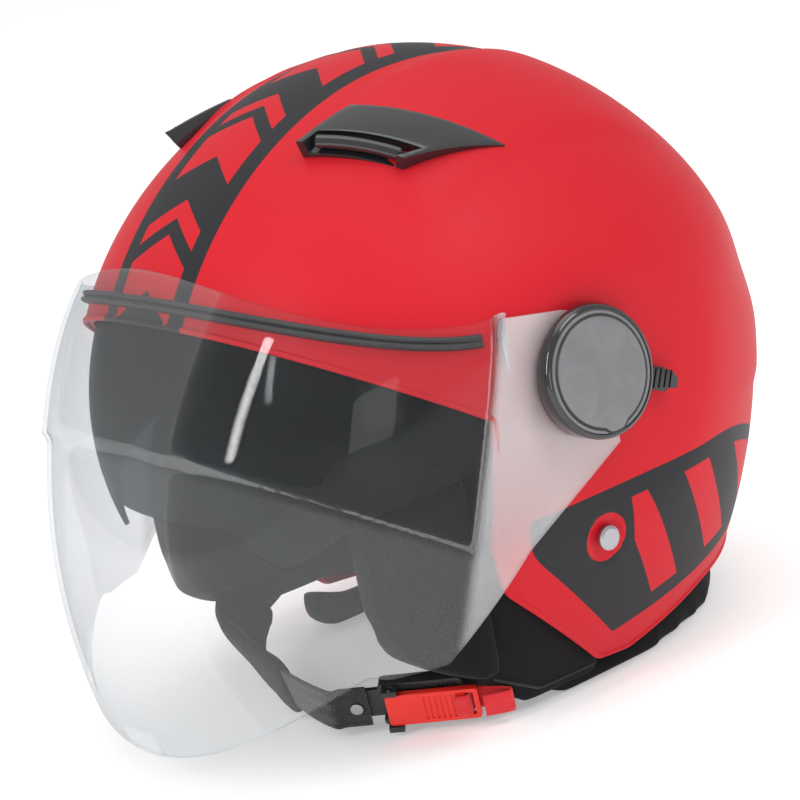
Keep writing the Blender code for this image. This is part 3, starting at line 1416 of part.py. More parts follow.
clear_scene()
FRAME = add_frame()
build_shell()
slots = {label: strap_slot(label, side) for label, side in SIDES.items()}
build_foam(slots)
build_comfort_liner()
build_cheek_pads(slots)
build_neck_roll()
build_shield()
build_visor()
build_visor_pins()
build_lever()
build_hinges()
build_gasket()
build_vents()
build_strap()
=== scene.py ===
"""Looks for the open-face motorcycle helmet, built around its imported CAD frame.

Lengths are in metres.  The design frame has its origin where the shield's hinge line crosses the
mid-plane; PIVOT carries it to the row frame.
"""
import json
import math

import bmesh
import bpy
import numpy as np
from mathutils import Matrix, Vector, noise


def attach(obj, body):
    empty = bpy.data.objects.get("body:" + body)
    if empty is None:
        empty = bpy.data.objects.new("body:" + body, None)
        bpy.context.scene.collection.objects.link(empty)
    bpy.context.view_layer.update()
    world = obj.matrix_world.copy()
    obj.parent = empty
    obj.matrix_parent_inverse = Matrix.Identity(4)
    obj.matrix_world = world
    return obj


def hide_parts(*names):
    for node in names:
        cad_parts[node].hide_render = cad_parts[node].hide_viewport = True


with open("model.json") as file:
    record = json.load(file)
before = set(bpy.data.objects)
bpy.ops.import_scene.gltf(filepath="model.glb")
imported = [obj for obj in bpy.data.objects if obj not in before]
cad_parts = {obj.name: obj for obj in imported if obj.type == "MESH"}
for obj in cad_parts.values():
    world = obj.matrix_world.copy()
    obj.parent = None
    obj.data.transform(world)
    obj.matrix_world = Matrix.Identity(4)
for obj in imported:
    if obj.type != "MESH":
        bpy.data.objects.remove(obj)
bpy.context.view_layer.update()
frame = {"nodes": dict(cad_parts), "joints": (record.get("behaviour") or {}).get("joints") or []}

MM = 0.001
SIDES = {"left": 1, "right": -1}
JOINTS = {joint["name"]: joint for joint in frame["joints"]}
PIVOT = Vector(JOINTS["shield_hinge"]["pos_m"])
VISOR_PIVOT = Vector(JOINTS["sun_visor_hinge"]["pos_m"]) - PIVOT

# Camera: direction from the front towards the wearer's left, height, roll, distance and lens.
CAMERA_AZIMUTH = math.radians(56.0148)
CAMERA_HEIGHT = math.radians(14.6884)
CAMERA_ROLL = math.radians(-11.8731)
CAMERA_DISTANCE = 1.2
CAMERA_LENS = 133.73
CAMERA_SHIFT = (0.0052, -0.0748)

# The shell's form.
DOME = {"half_width": 0.125, "front": 0.1365, "rear": 0.1372, "top": 0.1229, "bottom": 0.1865}
DOME_CENTRE = np.array([0, 8.6, -5.1]) * MM
PLAN_POWER = 2.22
HEIGHT_POWER = 1.84
SIDE_FLAT = 117.2 * MM
FLAT_SOFTNESS = 1.2 * MM
SHELL_WALL = 3.5 * MM
SHELL_RINGS = 110
SHELL_SPOKES = 220

BROW = {"y": -113 * MM, "z": 44 * MM, "slope": -0.706}
RIM_CORNERS = [(-43, None, 3), (-49, -55, 14), (-45, -75, 12), (0, -121, 6), (16, -122.5, 6), (60, -111, 60)]
NAPE = (220 * MM, -96 * MM)

RIVET = (-2 * MM, -67 * MM)
RED = (0.60, 0.012, 0.022, 1)
BLACK = (0.018, 0.018, 0.020, 1)


# ---------------------------------------------------------------- node expressions

class Value:
    """A number in a material's node tree; arithmetic on it adds Math nodes."""

    def __init__(self, tree, source):
        self.tree = tree
        self.source = source

    def make(self, operation, *others):
        node = self.tree.nodes.new("ShaderNodeMath")
        node.operation = operation
        for slot, item in zip(node.inputs, (self,) + others):
            item = item.source if isinstance(item, Value) else item
            if isinstance(item, (int, float)):
                slot.default_value = item
            else:
                self.tree.links.new(item, slot)
        return Value(self.tree, node.outputs[0])

    def __add__(self, other):
        return self.make("ADD", other)

    def __sub__(self, other):
        return self.make("SUBTRACT", other)

    def __mul__(self, other):
        return self.make("MULTIPLY", other)

    def __truediv__(self, other):
        return self.make("DIVIDE", other)

    def absolute(self):
        return self.make("ABSOLUTE")

    def least(self, other, soft=0.0):
        return self.make("SMOOTH_MIN", other, soft) if soft else self.make("MINIMUM", other)

    def most(self, other):
        return self.make("MAXIMUM", other)

    def edge(self, width):
        """0 below zero and 1 above it, over a narrow width."""
        node = self.tree.nodes.new("ShaderNodeMapRange")
        node.inputs["From Min"].default_value = -width / 2
        node.inputs["From Max"].default_value = width / 2
        self.tree.links.new(self.source, node.inputs["Value"])
        return Value(self.tree, node.outputs[0])


def position(tree):
    """The design coordinates in millimetres, as three values."""
    coordinates = tree.nodes.new("ShaderNodeTexCoord")
    split = tree.nodes.new("ShaderNodeSeparateXYZ")
    tree.links.new(coordinates.outputs["Object"], split.inputs[0])
    return [(Value(tree, split.outputs[k]) - PIVOT[k]) * 1000 for k in range(3)]


def strip_position(tree):
    """Distance along and across a strip in millimetres, from its UV map."""
    coordinates = tree.nodes.new("ShaderNodeTexCoord")
    split = tree.nodes.new("ShaderNodeSeparateXYZ")
    tree.links.new(coordinates.outputs["UV"], split.inputs[0])
    return [Value(tree, split.outputs[k]) * 1000 for k in range(2)]


def texture(tree, kind, scale, **settings):
    """A procedural texture in object space; settings name its inputs or its own properties."""
    node = tree.nodes.new("ShaderNodeTex" + kind)
    coordinates = tree.nodes.new("ShaderNodeTexCoord")
    tree.links.new(coordinates.outputs["Object"], node.inputs["Vector"])
    node.inputs["Scale"].default_value = scale
    for key, value in settings.items():
        if key in node.inputs:
            node.inputs[key].default_value = value
        else:
            setattr(node, key, value)
    name = "Distance" if kind == "Voronoi" else ("Fac" if "Fac" in node.outputs else "Factor")
    return Value(tree, node.outputs[name])


def mix_colour(tree, factor, first, second):
    node = tree.nodes.new("ShaderNodeMix")
    node.data_type = "RGBA"
    tree.links.new(factor.source, node.inputs["Factor"])
    for slot, item in ((node.inputs[6], first), (node.inputs[7], second)):
        if isinstance(item, tuple):
            slot.default_value = item
        else:
            tree.links.new(item, slot)
    return node.outputs[2]


def new_material(name, colour=BLACK, roughness=0.5, metallic=0.0, **inputs):
    made = bpy.data.materials.new(name)
    made.use_nodes = True
    tree = made.node_tree
    shader = tree.nodes["Principled BSDF"]
    shader.inputs["Base Color"].default_value = colour
    shader.inputs["Roughness"].default_value = roughness
    shader.inputs["Metallic"].default_value = metallic
    for key, value in inputs.items():
        shader.inputs[key.replace("_", " ")].default_value = value
    return made, tree, shader


def add_bump(tree, shader, height, distance, strength=1.0):
    """Bump from a height in units of the distance."""
    node = tree.nodes.new("ShaderNodeBump")
    node.inputs["Strength"].default_value = strength
    node.inputs["Distance"].default_value = distance
    tree.links.new(height.source, node.inputs["Height"])
    tree.links.new(node.outputs[0], shader.inputs["Normal"])


def vary(tree, shader, socket, value, spread, factor):
    """Drive a number on the shader with value plus or minus spread, from a factor of 0 to 1."""
    tree.links.new(((factor - 0.5) * (2 * spread) + value).source, shader.inputs[socket])


# ---------------------------------------------------------------- materials

def panel_distance(x, y, z):
    """How far inside the black side panel a point is."""
    rear_drop = (y - 60).most(0) * (y - 60).most(0) * 0.0072
    top = z * -1 - 48.5 - rear_drop
    front = y + 36
    lean = ((y + 34) * 47 + (z + 65) * 39) * (1 / 61.1)
    low = (z + 111.3 - (y - 5) * 0.16) * 0.987
    inside = top.least(front, 5).least(lean, 7).least(low, 2)
    outboard = x.absolute() - 40
    return inside.least(outboard)


def paint_material():
    """Matte red paint, with a black centre stripe and side panels carrying plain slanted bars."""
    made, tree, shader = new_material("shell_paint", RED, 0.48, Specular_IOR_Level=0.18)
    x, y, z = position(tree)
    width = x.absolute()
    stripe = (width * -1 + 27.4).edge(0.25)
    run = (z + 5.1).make("ARCTAN2", (y - 8.6) * -1) * 132
    lane = (run + width * 0.7) / 62
    step = lane.make("FRACT")
    bar = (step * -1 + 0.40).least(step - 0.02)
    second = (step * -1 + 0.66).least(step - 0.52)
    chevron = (bar.most(second) * 62).least(width * -1 + 18.5).edge(0.3)
    stripe = stripe * (chevron * -1 + 1)
    inside = panel_distance(x, y, z)
    slant = ((y - 14) + (z + 80) * 0.42) / 36
    tick = slant.make("FRACT")
    bars = ((tick * -1 + 0.46).least(tick - 0.02) * 33).least(inside - 7).least(y - 12).edge(0.3)
    panel = inside.edge(0.3) * (bars * -1 + 1)
    ring_y = y - RIVET[0] / MM
    ring_z = z - RIVET[1] / MM
    ring = (ring_y * ring_y + ring_z * ring_z).make("SQRT") - 9.6
    panel = panel * ring.edge(0.3)
    black = stripe.most(panel)
    mottled = texture(tree, "Noise", 9, Detail=3.0)
    red = mix_colour(tree, mottled, RED, (0.54, 0.010, 0.019, 1))
    ink = mix_colour(tree, mottled, (0.020, 0.020, 0.023, 1), (0.028, 0.028, 0.031, 1))
    tree.links.new(mix_colour(tree, black, red, ink), shader.inputs["Base Color"])
    vary(tree, shader, "Roughness", 0.48, 0.05, texture(tree, "Noise", 40, Detail=4.0))
    grain = texture(tree, "Noise", 2200, Detail=2.0)
    add_bump(tree, shader, grain + black * 2.0, 0.02 * MM, 0.5)
    return made


def plastic_material(name, colour, roughness, grain=0.015, spread=0.05, coat=0.0):
    """Moulded plastic with a faint grain and uneven gloss."""
    made, tree, shader = new_material(name, colour, roughness, Coat_Weight=coat, Coat_Roughness=0.08)
    vary(tree, shader, "Roughness", roughness, spread, texture(tree, "Noise", 60, Detail=5.0))
    lighter = tuple(min(c * 1.25 + 0.002, 1) for c in colour[:3]) + (1,)
    tree.links.new(mix_colour(tree, texture(tree, "Noise", 25, Detail=4.0), colour, lighter),
                   shader.inputs["Base Color"])
    add_bump(tree, shader, texture(tree, "Noise", 1800, Detail=2.0), grain * MM, 0.4)
    return made


def cap_material():
    """Satin grey plastic with cloud-like handling marks."""
    made, tree, shader = new_material("cap_grey", (0.17, 0.17, 0.18, 1), 0.38)
    cloud = texture(tree, "Noise", 70, Detail=6.0, Distortion=1.2)
    tree.links.new(mix_colour(tree, cloud, (0.13, 0.13, 0.14, 1), (0.235, 0.235, 0.245, 1)),
                   shader.inputs["Base Color"])
    vary(tree, shader, "Roughness", 0.38, 0.1, cloud)
    add_bump(tree, shader, texture(tree, "Noise", 2500), 0.02 * MM, 0.4)
    return made


def knit_material(name, colour, pitch=1.1, fuzz=0.04):
    """Knitted lining: a lattice of small loops with sheen and lint."""
    made, tree, shader = new_material(name, colour, 0.92, Sheen_Weight=fuzz, Sheen_Roughness=0.4,
                                      Specular_IOR_Level=0.2)
    x, y, z = position(tree)
    rate = 2 * math.pi / pitch
    rows = (z * rate).make("SINE")
    columns = ((x + y) * rate).make("SINE")
    loops = rows * columns
    lint = texture(tree, "Noise", 900, Detail=4.0)
    lighter = tuple(c * 2.0 + 0.002 for c in colour[:3]) + (1,)
    tree.links.new(mix_colour(tree, (loops * 0.25 + 0.5) * lint, colour, lighter), shader.inputs["Base Color"])
    add_bump(tree, shader, loops * 0.5 + lint, 0.15 * MM, 0.5)
    return made


def web_material(name, colour, pitch=1.5, lighter=2.0):
    """Woven webbing or ribbon: diagonal ribs along the strip, closer at its edges."""
    made, tree, shader = new_material(name, colour, 0.8, Sheen_Weight=0.25, Sheen_Roughness=0.4)
    along, beside = strip_position(tree)
    rate = 2 * math.pi / pitch
    twill = ((along + beside.make("PINGPONG", 3.2)) * rate).make("SINE")
    cross = (beside * rate * 1.4).make("SINE")
    weave = twill * 0.7 + cross * 0.3
    light = tuple(min(c * lighter + 0.004, 1) for c in colour[:3]) + (1,)
    tree.links.new(mix_colour(tree, weave * 0.5 + 0.5, colour, light), shader.inputs["Base Color"])
    add_bump(tree, shader, weave, 0.16 * MM, 0.9)
    return made


def foam_material():
    made, tree, shader = new_material("foam_beads", (0.012, 0.012, 0.013, 1), 0.85)
    beads = texture(tree, "Voronoi", 330)
    tree.links.new(mix_colour(tree, beads, (0.022, 0.022, 0.024, 1), (0.008, 0.008, 0.009, 1)),
                   shader.inputs["Base Color"])
    add_bump(tree, shader, beads * -1, 0.5 * MM, 0.8)
    return made


def rubber_material():
    made, tree, shader = new_material("gasket_rubber", (0.020, 0.020, 0.022, 1), 0.55)
    dust = texture(tree, "Noise", 130, Detail=5.0)
    tree.links.new(mix_colour(tree, dust, (0.016, 0.016, 0.018, 1), (0.045, 0.045, 0.048, 1)),
                   shader.inputs["Base Color"])
    vary(tree, shader, "Roughness", 0.55, 0.12, dust)
    add_bump(tree, shader, texture(tree, "Noise", 1500, Detail=3.0), 0.03 * MM, 0.5)
    return made


def metal_material(name, colour, roughness):
    made, tree, shader = new_material(name, colour, roughness, 1.0)
    vary(tree, shader, "Roughness", roughness, 0.1, texture(tree, "Noise", 220, Detail=6.0, Distortion=0.6))
    add_bump(tree, shader, texture(tree, "Noise", 900, Detail=3.0), 0.03 * MM, 0.3)
    return made


def see_through_material(name, tint, edge_tint, film, film_share, gloss, rough):
    """Clear sheet: light passes through its tint, a film shows where it is hazy and is a painted reflection on the
    shield's flat ears, and it shines.
    """
    made, tree, shader = new_material(name, film, 0.35)
    through = tree.nodes.new("ShaderNodeBsdfTransparent")
    facing = tree.nodes.new("ShaderNodeLayerWeight")
    facing.inputs["Blend"].default_value = 0.15
    tree.links.new(mix_colour(tree, Value(tree, facing.outputs["Facing"]), tint, edge_tint), through.inputs[0])
    smudge = texture(tree, "Noise", 18, Detail=5.0, Distortion=0.8)
    # The film mixed in here is a painted reflection on the shield's flat ears.
    film_mix = tree.nodes.new("ShaderNodeMixShader")
    tree.links.new((film_share(tree) + smudge * 0.008).source, film_mix.inputs[0])
    tree.links.new(through.outputs[0], film_mix.inputs[1])
    tree.links.new(shader.outputs[0], film_mix.inputs[2])
    mirror = tree.nodes.new("ShaderNodeBsdfGlossy")
    mirror.inputs["Roughness"].default_value = rough
    angle = tree.nodes.new("ShaderNodeFresnel")
    angle.inputs["IOR"].default_value = 1.55
    shine = tree.nodes.new("ShaderNodeMixShader")
    tree.links.new((Value(tree, angle.outputs[0]) * gloss).source, shine.inputs[0])
    tree.links.new(film_mix.outputs[0], shine.inputs[1])
    tree.links.new(mirror.outputs[0], shine.inputs[2])
    tree.links.new(shine.outputs[0], tree.nodes["Material Output"].inputs[0])
    return made


def shield_film_and_reflection(tree):
    x, y, z = position(tree)
    behind = ((y + 33) * 81 - (z - 29) * 30) * (1 / 86.4)
    below = ((y + 63) * -37 - (z + 52) * 55) * (1 / 66.3)
    # Painted reflection: the white film over the flat ears, behind the step, stands in for the lamps' reflection
    # there.
    ear = behind.edge(4.0) * (z + 75).edge(120) * 0.34
    strip = below.edge(4.0) * 0.03
    tab = (x.absolute() * -1 + 11).least(z * -1 - 108).edge(1.5) * 0.2
    return (ear + strip + tab).least(0.42) + 0.002


def visor_haze(tree):
    _, _, z = position(tree)
    return (z + 20).edge(80) * 0.03 + 0.01


MATERIALS = {
    "paint": paint_material(),
    "gloss": plastic_material("gloss_black", (0.012, 0.012, 0.014, 1), 0.12, 0.006, 0.03, 0.5),
    "matte": plastic_material("matte_black", (0.020, 0.020, 0.022, 1), 0.42, 0.03),
    "red_plastic": plastic_material("red_plastic", (0.70, 0.02, 0.012, 1), 0.3, 0.01),
    "cap": cap_material(),
    "knit": knit_material("lining_knit", (0.006, 0.006, 0.007, 1)),
    "skirt": knit_material("skirt_cloth", (0.007, 0.007, 0.008, 1), 0.7, 0.03),
    "web": web_material("strap_web", (0.010, 0.010, 0.011, 1)),
    "ribbon": web_material("ribbon_red", (0.60, 0.010, 0.014, 1), 1.1, 1.5),
    "thread": plastic_material("thread", (0.03, 0.03, 0.033, 1), 0.7, 0.05),
    "foam": foam_material(),
    "rubber": rubber_material(),
    "steel": metal_material("plated_steel", (0.55, 0.55, 0.56, 1), 0.32),
    "aluminium": metal_material("rivet_aluminium", (0.42, 0.42, 0.44, 1), 0.34),
    "clear": see_through_material("shield_clear", (0.975, 0.98, 0.985, 1), (0.70, 0.72, 0.74, 1),
                                  (0.86, 0.87, 0.88, 1), shield_film_and_reflection, 0.2, 0.03),
    "tint": see_through_material("visor_tint", (0.17, 0.24, 0.26, 1), (0.08, 0.12, 0.13, 1),
                                 (0.10, 0.14, 0.15, 1), visor_haze, 0.16, 0.05),
}


# ---------------------------------------------------------------- mesh helpers

def add_piece(name, mesh, finish, body, slot, replaced=(), smooth=35):
    """Link a mesh given in the design frame, and hang it on a CAD body."""
    mesh.transform(Matrix.Translation(PIVOT))
    piece = bpy.data.objects.new(name, mesh)
    bpy.context.scene.collection.objects.link(piece)
    for key in (finish if isinstance(finish, tuple) else (finish,)):
        mesh.materials.append(MATERIALS[key])
    mesh.shade_smooth()
    if smooth:
        mesh.set_sharp_from_angle(angle=math.radians(smooth))
    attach(piece, body)
    if replaced:
        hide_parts(*replaced)
    return piece


def mesh_from(name, points, faces, uvs=None):
    mesh = bpy.data.meshes.new(name)
    mesh.from_pydata([tuple(p) for p in points], [], faces)
    if uvs is not None:
        layer = mesh.uv_layers.new(name="strip")
        for loop in mesh.loops:
            layer.data[loop.index].uv = uvs[loop.vertex_index]
    work = bmesh.new()
    work.from_mesh(mesh)
    bmesh.ops.recalc_face_normals(work, faces=work.faces)
    work.to_mesh(mesh)
    work.free()
    return mesh


def grid_faces(rows, columns, start=0, wrap=False):
    faces = []
    for row in range(rows - 1):
        for column in range(columns if wrap else columns - 1):
            ahead = (column + 1) % columns
            low = start + row * columns
            faces.append([low + column, low + ahead, low + columns + ahead, low + columns + column])
    return faces


def sheet(name, outer, inner):
    """A closed sheet between two grids of points of the same shape."""
    rows, columns = outer.shape[:2]
    points = np.concatenate([outer.reshape(-1, 3), inner.reshape(-1, 3)])
    shift = rows * columns
    faces = grid_faces(rows, columns) + [f[::-1] for f in grid_faces(rows, columns, shift)]
    border = [c for c in range(columns)] + [r * columns + columns - 1 for r in range(1, rows)]
    border += [(rows - 1) * columns + c for c in range(columns - 2, -1, -1)]
    border += [r * columns for r in range(rows - 2, 0, -1)]
    for here, there in zip(border, border[1:] + border[:1]):
        faces.append([here, here + shift, there + shift, there])
    return mesh_from(name, points, faces)


def tube(name, sections, closed=False, uvs=None):
    """A solid through a list of loops, capped unless it closes on itself."""
    sections = np.asarray(sections)
    rows, columns = sections.shape[:2]
    faces = grid_faces(rows, columns, wrap=True)
    if closed:
        last = (rows - 1) * columns
        faces += [[last + c, last + (c + 1) % columns, (c + 1) % columns, c] for c in range(columns)]
    else:
        faces += [list(range(columns)), [(rows - 1) * columns + c for c in range(columns)]]
    return mesh_from(name, sections.reshape(-1, 3), faces, uvs)


def circle_path(points, radius, sides=10, closed=False):
    """Loops of a round tube along a path."""
    points = np.asarray(points, float)
    if closed:
        tangents = np.roll(points, -1, 0) - np.roll(points, 1, 0)
    else:
        tangents = np.gradient(points, axis=0)
    loops = []
    side = None
    for point, tangent in zip(points, tangents):
        tangent = Vector(tangent).normalized()
        if side is None:
            side = tangent.orthogonal().normalized()
        side = (side - tangent * side.dot(tangent)).normalized()
        other = tangent.cross(side)
        loops.append([Vector(point) + side * (radius * math.cos(a)) + other * (radius * math.sin(a))
                      for a in np.linspace(0, 2 * math.pi, sides, endpoint=False)])
    return loops


def turned(rings, place, segments=96):
    """Loops of points of a solid through rings (radius, height) about an axis; either may be a function."""
    angles = np.linspace(0, 2 * math.pi, segments, endpoint=False)

    def value(item, angle):
        return item(angle) if callable(item) else item
    loops = [[place(value(r, a), a, value(h, a)) for a in angles] for r, h in rings]
    return loops


def apply_modifiers(piece):
    """Bake the modifiers into the mesh."""
    graph = bpy.context.evaluated_depsgraph_get()
    graph.update()
    mesh = bpy.data.meshes.new_from_object(piece.evaluated_get(graph))
    old = piece.data
    piece.modifiers.clear()
    piece.data = mesh
    bpy.data.meshes.remove(old)
    return piece


def carve(piece, tool_mesh, operation="DIFFERENCE"):
    """Boolean a mesh given in the design frame into a piece, and discard the tool."""
    tool_mesh.transform(Matrix.Translation(PIVOT))
    tool = bpy.data.objects.new("tool", tool_mesh)
    bpy.context.scene.collection.objects.link(tool)
    step = piece.modifiers.new("carve", "BOOLEAN")
    step.operation = operation
    step.solver = "EXACT"
    step.object = tool
    apply_modifiers(piece)
    bpy.data.objects.remove(tool)
    bpy.data.meshes.remove(tool_mesh)


def bevel(piece, width, segments=3, angle=40):
    step = piece.modifiers.new("bevel", "BEVEL")
    step.width = width
    step.segments = segments
    step.limit_method = "ANGLE"
    step.angle_limit = math.radians(angle)
    step.harden_normals = False
    apply_modifiers(piece)
    piece.data.shade_smooth()
    piece.data.set_sharp_from_angle(angle=math.radians(50))


def refined(node, name, body, finish, slot, width, segments=3):
    """A copy of a CAD node with rounded edges, shown in its place."""
    mesh = cad_mesh(node)
    work = bmesh.new()
    work.from_mesh(mesh)
    bmesh.ops.remove_doubles(work, verts=work.verts, dist=0.01 * MM)
    bmesh.ops.dissolve_limit(work, angle_limit=math.radians(1.5), verts=work.verts, edges=work.edges)
    work.to_mesh(mesh)
    work.free()
    piece = add_piece(name, mesh, finish, body, slot, (node,))
    bevel(piece, width, segments)
    return piece


def across(side):
    def place(radius, angle, height):
        return (side * height, radius * math.cos(angle), radius * math.sin(angle))
    return place


# ---------------------------------------------------------------- the shell's surface

def form(offsets):
    """1 on the shell's surface, for offsets from the dome's centre."""
    x, y, z = np.moveaxis(np.asarray(offsets, float), -1, 0)
    depth = np.where(y > 0, DOME["rear"], DOME["front"])
    height = np.where(z > 0, DOME["top"], DOME["bottom"])
    plan = (np.abs(x) / DOME["half_width"]) ** PLAN_POWER + (np.abs(y) / depth) ** PLAN_POWER
    total = plan ** (HEIGHT_POWER / PLAN_POWER) + (np.abs(z) / height) ** HEIGHT_POWER
    return total ** (1 / HEIGHT_POWER)


def normals_at(offsets):
    step = 0.01 * MM
    slope = []
    for axis in range(3):
        shift = np.zeros(3)
        shift[axis] = step
        slope.append(form(offsets + shift) - form(offsets - shift))
    slope = np.stack(slope, -1)
    return slope / np.linalg.norm(slope, axis=-1, keepdims=True)


def shell_points(directions, inset=0.0, relief=None):
    """Points of the shell in directions from the dome's centre, moved inwards by the inset."""
    directions = np.asarray(directions, float)
    offsets = directions / form(directions)[..., None]
    normals = normals_at(offsets)
    lift = -inset + (relief(offsets + DOME_CENTRE) if relief else 0.0)
    lift = np.broadcast_to(lift, offsets.shape[:-1])
    points = offsets + normals * lift[..., None] + DOME_CENTRE
    limit = SIDE_FLAT + np.minimum(lift, 0)
    size = np.abs(points[..., 0])
    held = limit - FLAT_SOFTNESS * np.log1p(np.exp(np.clip((limit - size) / FLAT_SOFTNESS, -60, 60)))
    points[..., 0] = np.where(size < limit - 20 * FLAT_SOFTNESS, points[..., 0],
                              np.copysign(held, points[..., 0]))
    return points, normals


def smoothstep(value, low, high):
    share = np.clip((value - low) / (high - low), 0, 1)
    return share * share * (3 - 2 * share)


def relief(points):
    """Raised fields behind the vents, a crease round the rear, and a dish under each rivet."""
    x, y, z = np.moveaxis(points / MM, -1, 0)
    width = np.abs(x)
    crown = smoothstep(z, 45, 75)
    inner = smoothstep(width, 34.5 - 0.16 * y - 2.5, 34.5 - 0.16 * y + 3.5)
    outer = smoothstep(width, 92 - 0.11 * y, 82 - 0.11 * y)
    length = smoothstep(y, -48, -30) * smoothstep(y, 112, 60)
    fields = 2.0 * crown * inner * outer * length
    rear = smoothstep(y, 70, 112)
    band = 1.3 * rear * np.exp(-((z - 2) / 15) ** 2)
    spoiler = 1.2 * rear * smoothstep(z, -46, -38) * smoothstep(z, 6, -22)
    reach = np.hypot(y - RIVET[0] / MM, z - RIVET[1] / MM)
    dish = 1.6 * smoothstep(reach, 8.6, 6.8) * (width > 80)
    return (fields - band + spoiler - dish) * MM


def dome_mesh(name, inset, relief=None, rings=SHELL_RINGS, spokes=SHELL_SPOKES):
    leans = np.linspace(0, math.pi, rings + 1)[1:-1]
    turns = np.linspace(0, 2 * math.pi, spokes, endpoint=False)
    lean, turn = np.meshgrid(leans, turns, indexing="ij")
    directions = np.stack([np.cos(lean), np.sin(lean) * np.cos(turn), np.sin(lean) * np.sin(turn)], -1)
    poles = np.array([[1.0, 0, 0], [-1.0, 0, 0]])
    body, _ = shell_points(directions, inset, relief)
    ends, _ = shell_points(poles, inset, relief)
    count = (rings - 1) * spokes
    points = np.concatenate([body.reshape(-1, 3), ends])
    faces = grid_faces(rings - 1, spokes, wrap=True)
    last = (rings - 2) * spokes
    for k in range(spokes):
        ahead = (k + 1) % spokes
        faces.append([count, ahead, k])
        faces.append([count + 1, last + k, last + ahead])
    return mesh_from(name, points, faces)


def rounded(corners, steps=10):
    """A closed outline with an arc at each corner; each corner is (u, v, radius)."""
    outline = []
    count = len(corners)
    for k, (u, v, radius) in enumerate(corners):
        here = Vector((u, v))
        before = (Vector(corners[k - 1][:2]) - here).normalized()
        after = (Vector(corners[(k + 1) % count][:2]) - here).normalized()
        if radius <= 0:
            outline.append((here.x, here.y))
            continue
        half = before.angle(after) / 2
        centre = here + (before + after).normalized() * radius / math.sin(half)
        start = here + before * radius / math.tan(half) - centre
        end = here + after * radius / math.tan(half) - centre
        turn = start.angle_signed(end)
        for step in range(steps + 1):
            point = centre + Matrix.Rotation(-turn * step / steps, 2) @ start
            outline.append((point.x, point.y))
    return outline


def brow_height(y):
    return BROW["z"] + BROW["slope"] * (y - BROW["y"])


def rim_outline():
    far = 220 * MM
    corners = [(-far, brow_height(-far), 0)]
    for y, z, radius in RIM_CORNERS:
        height = brow_height(y * MM) if z is None else z * MM
        corners.append((y * MM, height, radius * MM))
    return rounded(corners + [(NAPE[0], NAPE[1], 0), (far, far, 0), (-far, far, 0)])


def prism(name, outline, half):
    return tube(name, [[(x, y, z) for y, z in outline] for x in (-half, half)])


def side_width(y, z):
    """The shell's half width at a place seen from the side, or None outside it."""
    dy = y - DOME_CENTRE[1]
    dz = z - DOME_CENTRE[2]
    height = DOME["top"] if dz > 0 else DOME["bottom"]
    depth = DOME["rear"] if dy > 0 else DOME["front"]
    left = 1 - (abs(dz) / height) ** HEIGHT_POWER
    if left <= 0:
        return None
    room = left ** (PLAN_POWER / HEIGHT_POWER) - (abs(dy) / depth) ** PLAN_POWER
    if room <= 0:
        return None
    width = DOME["half_width"] * room ** (1 / PLAN_POWER)
    return SIDE_FLAT - FLAT_SOFTNESS * math.log1p(math.exp((SIDE_FLAT - width) / FLAT_SOFTNESS))


def build_shell():
    shell = add_piece("shell_skin", dome_mesh("shell_skin", 0, relief), "paint", "helmet", "shell_paint",
                      ("outer_shell",), 0)
    carve(shell, dome_mesh("hollow", SHELL_WALL, rings=60, spokes=120))
    carve(shell, prism("outline", rim_outline(), 0.2), "INTERSECT")
    shell.data.shade_smooth()
    shell.data.set_sharp_from_angle(angle=math.radians(40))
    build_rim()


def build_rim():
    """A rounded lip round the whole cut edge of the shell."""
    outline = rim_outline()[:-2]
    dense = []
    for (y0, z0), (y1, z1) in zip(outline, outline[1:]):
        count = max(int(math.hypot(y1 - y0, z1 - z0) / (1.2 * MM)), 1)
        dense += [(y0 + (y1 - y0) * k / count, z0 + (z1 - z0) * k / count) for k in range(count)]
    left = [(side_width(y, z), y, z) for y, z in dense if side_width(y, z)]
    inset = 1.3 * MM
    left = [(x - inset * 0.55, y, z) for x, y, z in left]
    loop = left + [(-x, y, z) for x, y, z in reversed(left)]
    add_piece("shell_lip", tube("shell_lip", circle_path(loop, inset, 12, True), True), "paint", "helmet",
              "shell_paint")


# ---------------------------------------------------------------- gasket

def gasket_height(y):
    run = max((-y - 36 * MM) / (75 * MM), 0)
    return 23.5 * MM + 28 * MM * run ** 1.6


def gasket_place(turn):
    lean = 0.4
    for _ in range(30):
        direction = [math.sin(turn) * math.cos(lean), -math.cos(turn) * math.cos(lean), math.sin(lean)]
        point, normal = shell_points(direction)
        lean += (gasket_height(point[1]) - point[2]) / DOME["front"] * 0.8
    return Vector(point), Vector(normal)


def build_gasket():
    """Two soft ridges with a groove between, on a flat foot."""
    count = 160
    limit = math.radians(67)
    places = [gasket_place(-limit + 2 * limit * k / count) for k in range(count + 1)]
    profile = []
    for k in range(25):
        share = k / 24
        u = (share - 0.5) * 5.2
        ridge = 2.4 + 1.3 * abs(math.sin(2 * math.pi * share)) ** 0.7
        edge = min(share, 1 - share) / 0.06
        profile.append((u * MM, (ridge * min(edge, 1) ** 0.5) * MM))
    profile[0] = (profile[0][0], 0.2 * MM)
    profile[-1] = (profile[-1][0], 0.2 * MM)
    loops = []
    for k, (point, normal) in enumerate(places):
        ahead = places[min(k + 1, count)][0] - places[max(k - 1, 0)][0]
        rise = normal.cross(ahead).normalized()
        if rise.z < 0:
            rise.negate()
        taper = min(min(k, count - k) / 12, 1) ** 0.6 * 0.75 + 0.25
        loops.append([point + rise * u + normal * (h * taper) for u, h in profile])
    add_piece("gasket", tube("gasket", loops), "rubber", "helmet", "rubber", ("brow_gasket",), 60)


# ---------------------------------------------------------------- face shield

